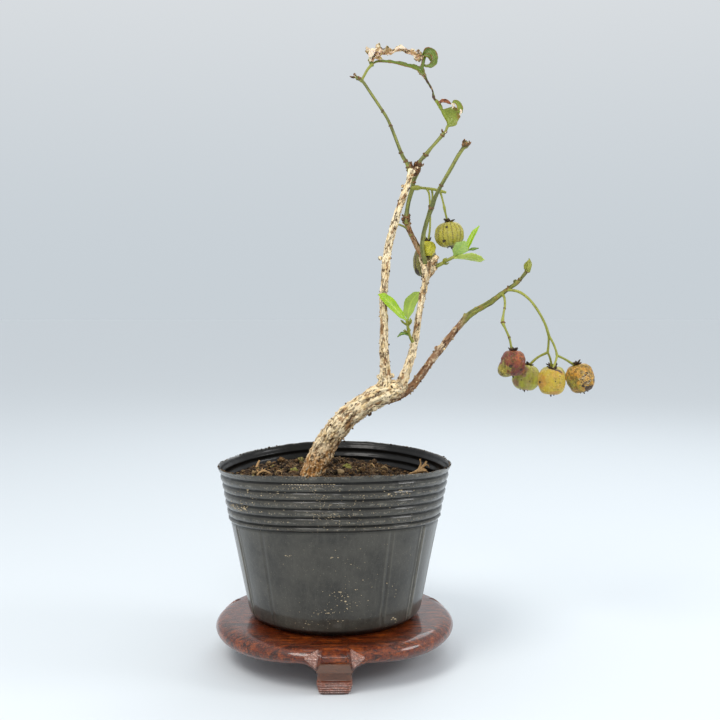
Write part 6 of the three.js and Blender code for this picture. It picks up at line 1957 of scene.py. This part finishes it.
class BONSAI_OT_leaves(bpy.types.Operator):
    """Build the small leaves of the two shoots"""

    bl_idname = "bonsai.leaves"
    bl_label = "Leaves"

    def execute(self, context):
        s = context.scene.bonsai_leaves
        for kind, rib in (("bright", 0.6), ("pale", 0.6), ("sage", 0.5), ("lemon", 0.75), ("dark", 0.75)):
            leaf_finish(kind, s, rib=rib)
        for node, spec in LEAVES.items():
            new_piece(
                node + "_blade", blade(spec, 64, 20), spec["finish"], node
            )
        return {"FINISHED"}


class BONSAI_OT_top_leaves(bpy.types.Operator):
    """Build the chewed and half-dried leaves at the top"""

    bl_idname = "bonsai.top_leaves"
    bl_label = "Top leaves"

    def execute(self, context):
        s = context.scene.bonsai_leaves
        withered = {
            "leaf_dry": (s.dry, 0.75, 0.2, [
                mottle(s.paper, 0.85, 0.5, 0.48, 0.56),
                mottle(s.rust, 0.5, 0.9, 0.52, 0.6),
                mottle(s.umber, 0.9, 1.2, 0.54, 0.6, height=-0.2),
            ]),
            "leaf_paper": (s.paper, 0.7, 0.3, [
                mottle(s.rust, 0.4, 0.8, 0.52, 0.66),
                mottle(s.umber, 0.7, 1.3, 0.6, 0.66),
            ]),
            "leaf_rust": (s.rust, 0.6, 0.2, [
                mottle(s.umber, 0.8, 0.9, 0.5, 0.62),
                mottle(s.paper, 0.5, 1.2, 0.56, 0.66),
            ]),
            "leaf_thread": (s.umber, 0.6, 0.0, [
                mottle(s.deep, 0.8, 0.5, 0.44, 0.56),
                mottle(s.dry, 0.8, 0.7, 0.54, 0.62),
            ]),
        }
        for name, (base, roughness, thin, coats) in withered.items():
            layered_finish(name, base, coats, place="place", roughness=roughness, thin=thin)
        leaf_finish("deep", s, 0.1, 0.15, 0.75)
        leaf_finish("cup", s, 0.1, 0.2, 0.6)
        green = [blade(GREEN_STRIP, 80, 10), blade(CURLED_END, 80, 12), blade(CURLED_BAR, 24, 10)]
        green.append(blade(dict(TOP_BRACT, face=(0, -1, 0.3)), 16, 8))
        petioles = [stem(TOP_PETIOLE, 10, 8, 0.04, seed=2), stem(CUP_PETIOLE, 10, 8, 0.04, seed=4)]
        new_piece("leaf_top_petioles", joined(petioles), "fruit_stalk")
        new_piece("leaf_top_strip", joined(green), "leaf_deep", "leaf_top_green")
        new_piece("leaf_top_ribbon", blade(DRIED_RIBBON, 120, 18), "leaf_dry", "leaf_top_dried")
        cup = [blade(CUP_LEAF, 60, 32), blade(CUP_HORN, 40, 12), blade(CUP_STRIP, 24, 10)]
        new_piece("leaf_top_cupped", joined(cup), "leaf_cup", "leaf_top_cup")
        paper = dict(face=(0, -1, 0.1), crumple=0.5, teeth=0.1, torn=0.5, thick=0.25)
        flakes = [blade({**spec, **paper}, 24, 10) for spec in PAPER_FLAKES]
        new_piece("leaf_top_flakes", joined(flakes), "leaf_paper")
        new_piece("leaf_top_rusty", blade(RUST_CURL, 30, 14), "leaf_rust")
        new_piece("leaf_top_thread", stem(TOP_THREAD, 10, 8, 0.16, 0.06, seed=3), "leaf_thread")
        return {"FINISHED"}


# Stage


def area_light(name, at, aim, size, power, colour=(1, 1, 1)):
    """A round soft light, placed and aimed in metres from the stand's centre."""
    light = bpy.data.lights.new(name, "AREA")
    light.shape = "DISK"
    light.size = size
    light.energy = power
    light.color = colour
    lamp = bpy.data.objects.new(name, light)
    lamp.location = ORIGIN + np.array(at)
    way = ORIGIN + np.array(aim) - lamp.location
    lamp.rotation_euler = Vector(way).to_track_quat("-Z", "Y").to_euler()
    bpy.context.scene.collection.objects.link(lamp)


class BONSAI_OT_stage(bpy.types.Operator):
    """Build the floor, the light and the camera"""

    bl_idname = "bonsai.stage"
    bl_label = "Stage"

    def execute(self, context):
        s = context.scene.bonsai_stage
        camera = bpy.data.cameras.new("view")
        camera.lens = s.focal
        camera.sensor_width = SENSOR_WIDTH
        camera.clip_start = 0.01
        viewer = bpy.data.objects.new("view", camera)
        viewer.location = ORIGIN + np.array([CAMERA[0] * MM, -s.distance, s.height])
        viewer.rotation_euler = (math.pi / 2 - CAMERA_PITCH, 0, 0)
        context.scene.collection.objects.link(viewer)
        context.scene.camera = viewer
        corners = 6.0 * np.array([(-1, -1, 0), (1, -1, 0), (1, 1, 0), (-1, 1, 0)])
        floor = mesh_object("floor", Surface(corners, [[0, 1, 2, 3]]), ORIGIN, 1.0)
        layered_finish("floor_paper", s.floor, [], roughness=0.75)
        floor.data.materials.append(bpy.data.materials["floor_paper_finish"])
        world = bpy.data.worlds.new("soft_sky")
        world.use_nodes = True
        tree = world.node_tree
        glow = np.array(s.sky) * s.sky_strength
        haze = glow * np.array(s.floor)
        way = put(tree, "ShaderNodeTexCoord").outputs["Generated"]
        rise = ramp(tree, put(tree, "ShaderNodeSeparateXYZ", Vector=way).outputs[2], 0.0, 0.5)
        shade = put(tree, "ShaderNodeMix", {"data_type": "RGBA"}, _0=rise, _6=rgba(haze), _7=rgba(glow))
        tree.links.new(shade.outputs[2], tree.nodes["Background"].inputs["Color"])
        context.scene.world = world
        context.scene.view_settings.view_transform = "Standard"
        area_light("key", (-0.3, -0.4, 0.7), (0.02, 0, 0.1), 0.35, s.key_power, (1.0, 0.97, 0.93))
        area_light("front", (0.05, -0.7, 0.5), (0.0, 0, 0.05), 0.14, s.key_power * 0.2)
        area_light("side", (0.65, -0.1, 0.4), (0.0, 0, 0.08), 0.25, s.key_power * 0.45)
        area_light("back", (0.2, 0.6, 0.6), (0.0, 0, 0.1), 0.4, s.key_power * 0.3, (0.93, 0.97, 1.0))
        return {"FINISHED"}


# The add-on


class BONSAI_PT_build(bpy.types.Panel):
    """Lists the operators in the order in which they build the tree"""

    bl_idname = "BONSAI_PT_build"
    bl_label = "Spindle tree bonsai"
    bl_space_type = "VIEW_3D"
    bl_region_type = "UI"
    bl_category = "Bonsai"

    def draw(self, context):
        for operator in OPERATORS:
            self.layout.operator(operator.bl_idname)


SETTINGS = {
    "bonsai_stand": StandSettings,
    "bonsai_pot": PotSettings,
    "bonsai_soil": SoilSettings,
    "bonsai_wood": WoodSettings,
    "bonsai_capsules": CapsuleSettings,
    "bonsai_leaves": LeafSettings,
    "bonsai_stage": StageSettings,
}
OPERATORS = (
    BONSAI_OT_stage,
    BONSAI_OT_stand,
    BONSAI_OT_pot,
    BONSAI_OT_soil,
    BONSAI_OT_wood,
    BONSAI_OT_twigs,
    BONSAI_OT_capsules,
    BONSAI_OT_leaves,
    BONSAI_OT_top_leaves,
)


def register():
    for name, group in SETTINGS.items():
        bpy.utils.register_class(group)
        setattr(bpy.types.Scene, name, bpy.props.PointerProperty(type=group))
    for operator in OPERATORS:
        bpy.utils.register_class(operator)
    bpy.utils.register_class(BONSAI_PT_build)


def unregister():
    bpy.utils.unregister_class(BONSAI_PT_build)
    for operator in reversed(OPERATORS):
        bpy.utils.unregister_class(operator)
    for name, group in SETTINGS.items():
        delattr(bpy.types.Scene, name)
        bpy.utils.unregister_class(group)


def main():
    register()
    for name, (inputs, build) in EFFECTS.items():
        effect_group(name, inputs, build)
    bpy.ops.bonsai.stage()
    bpy.ops.bonsai.stand()
    bpy.ops.bonsai.pot()
    bpy.ops.bonsai.soil()
    bpy.ops.bonsai.wood()
    bpy.ops.bonsai.twigs()
    bpy.ops.bonsai.capsules()
    bpy.ops.bonsai.leaves()
    bpy.ops.bonsai.top_leaves()


if __name__ == "__main__":
    main()
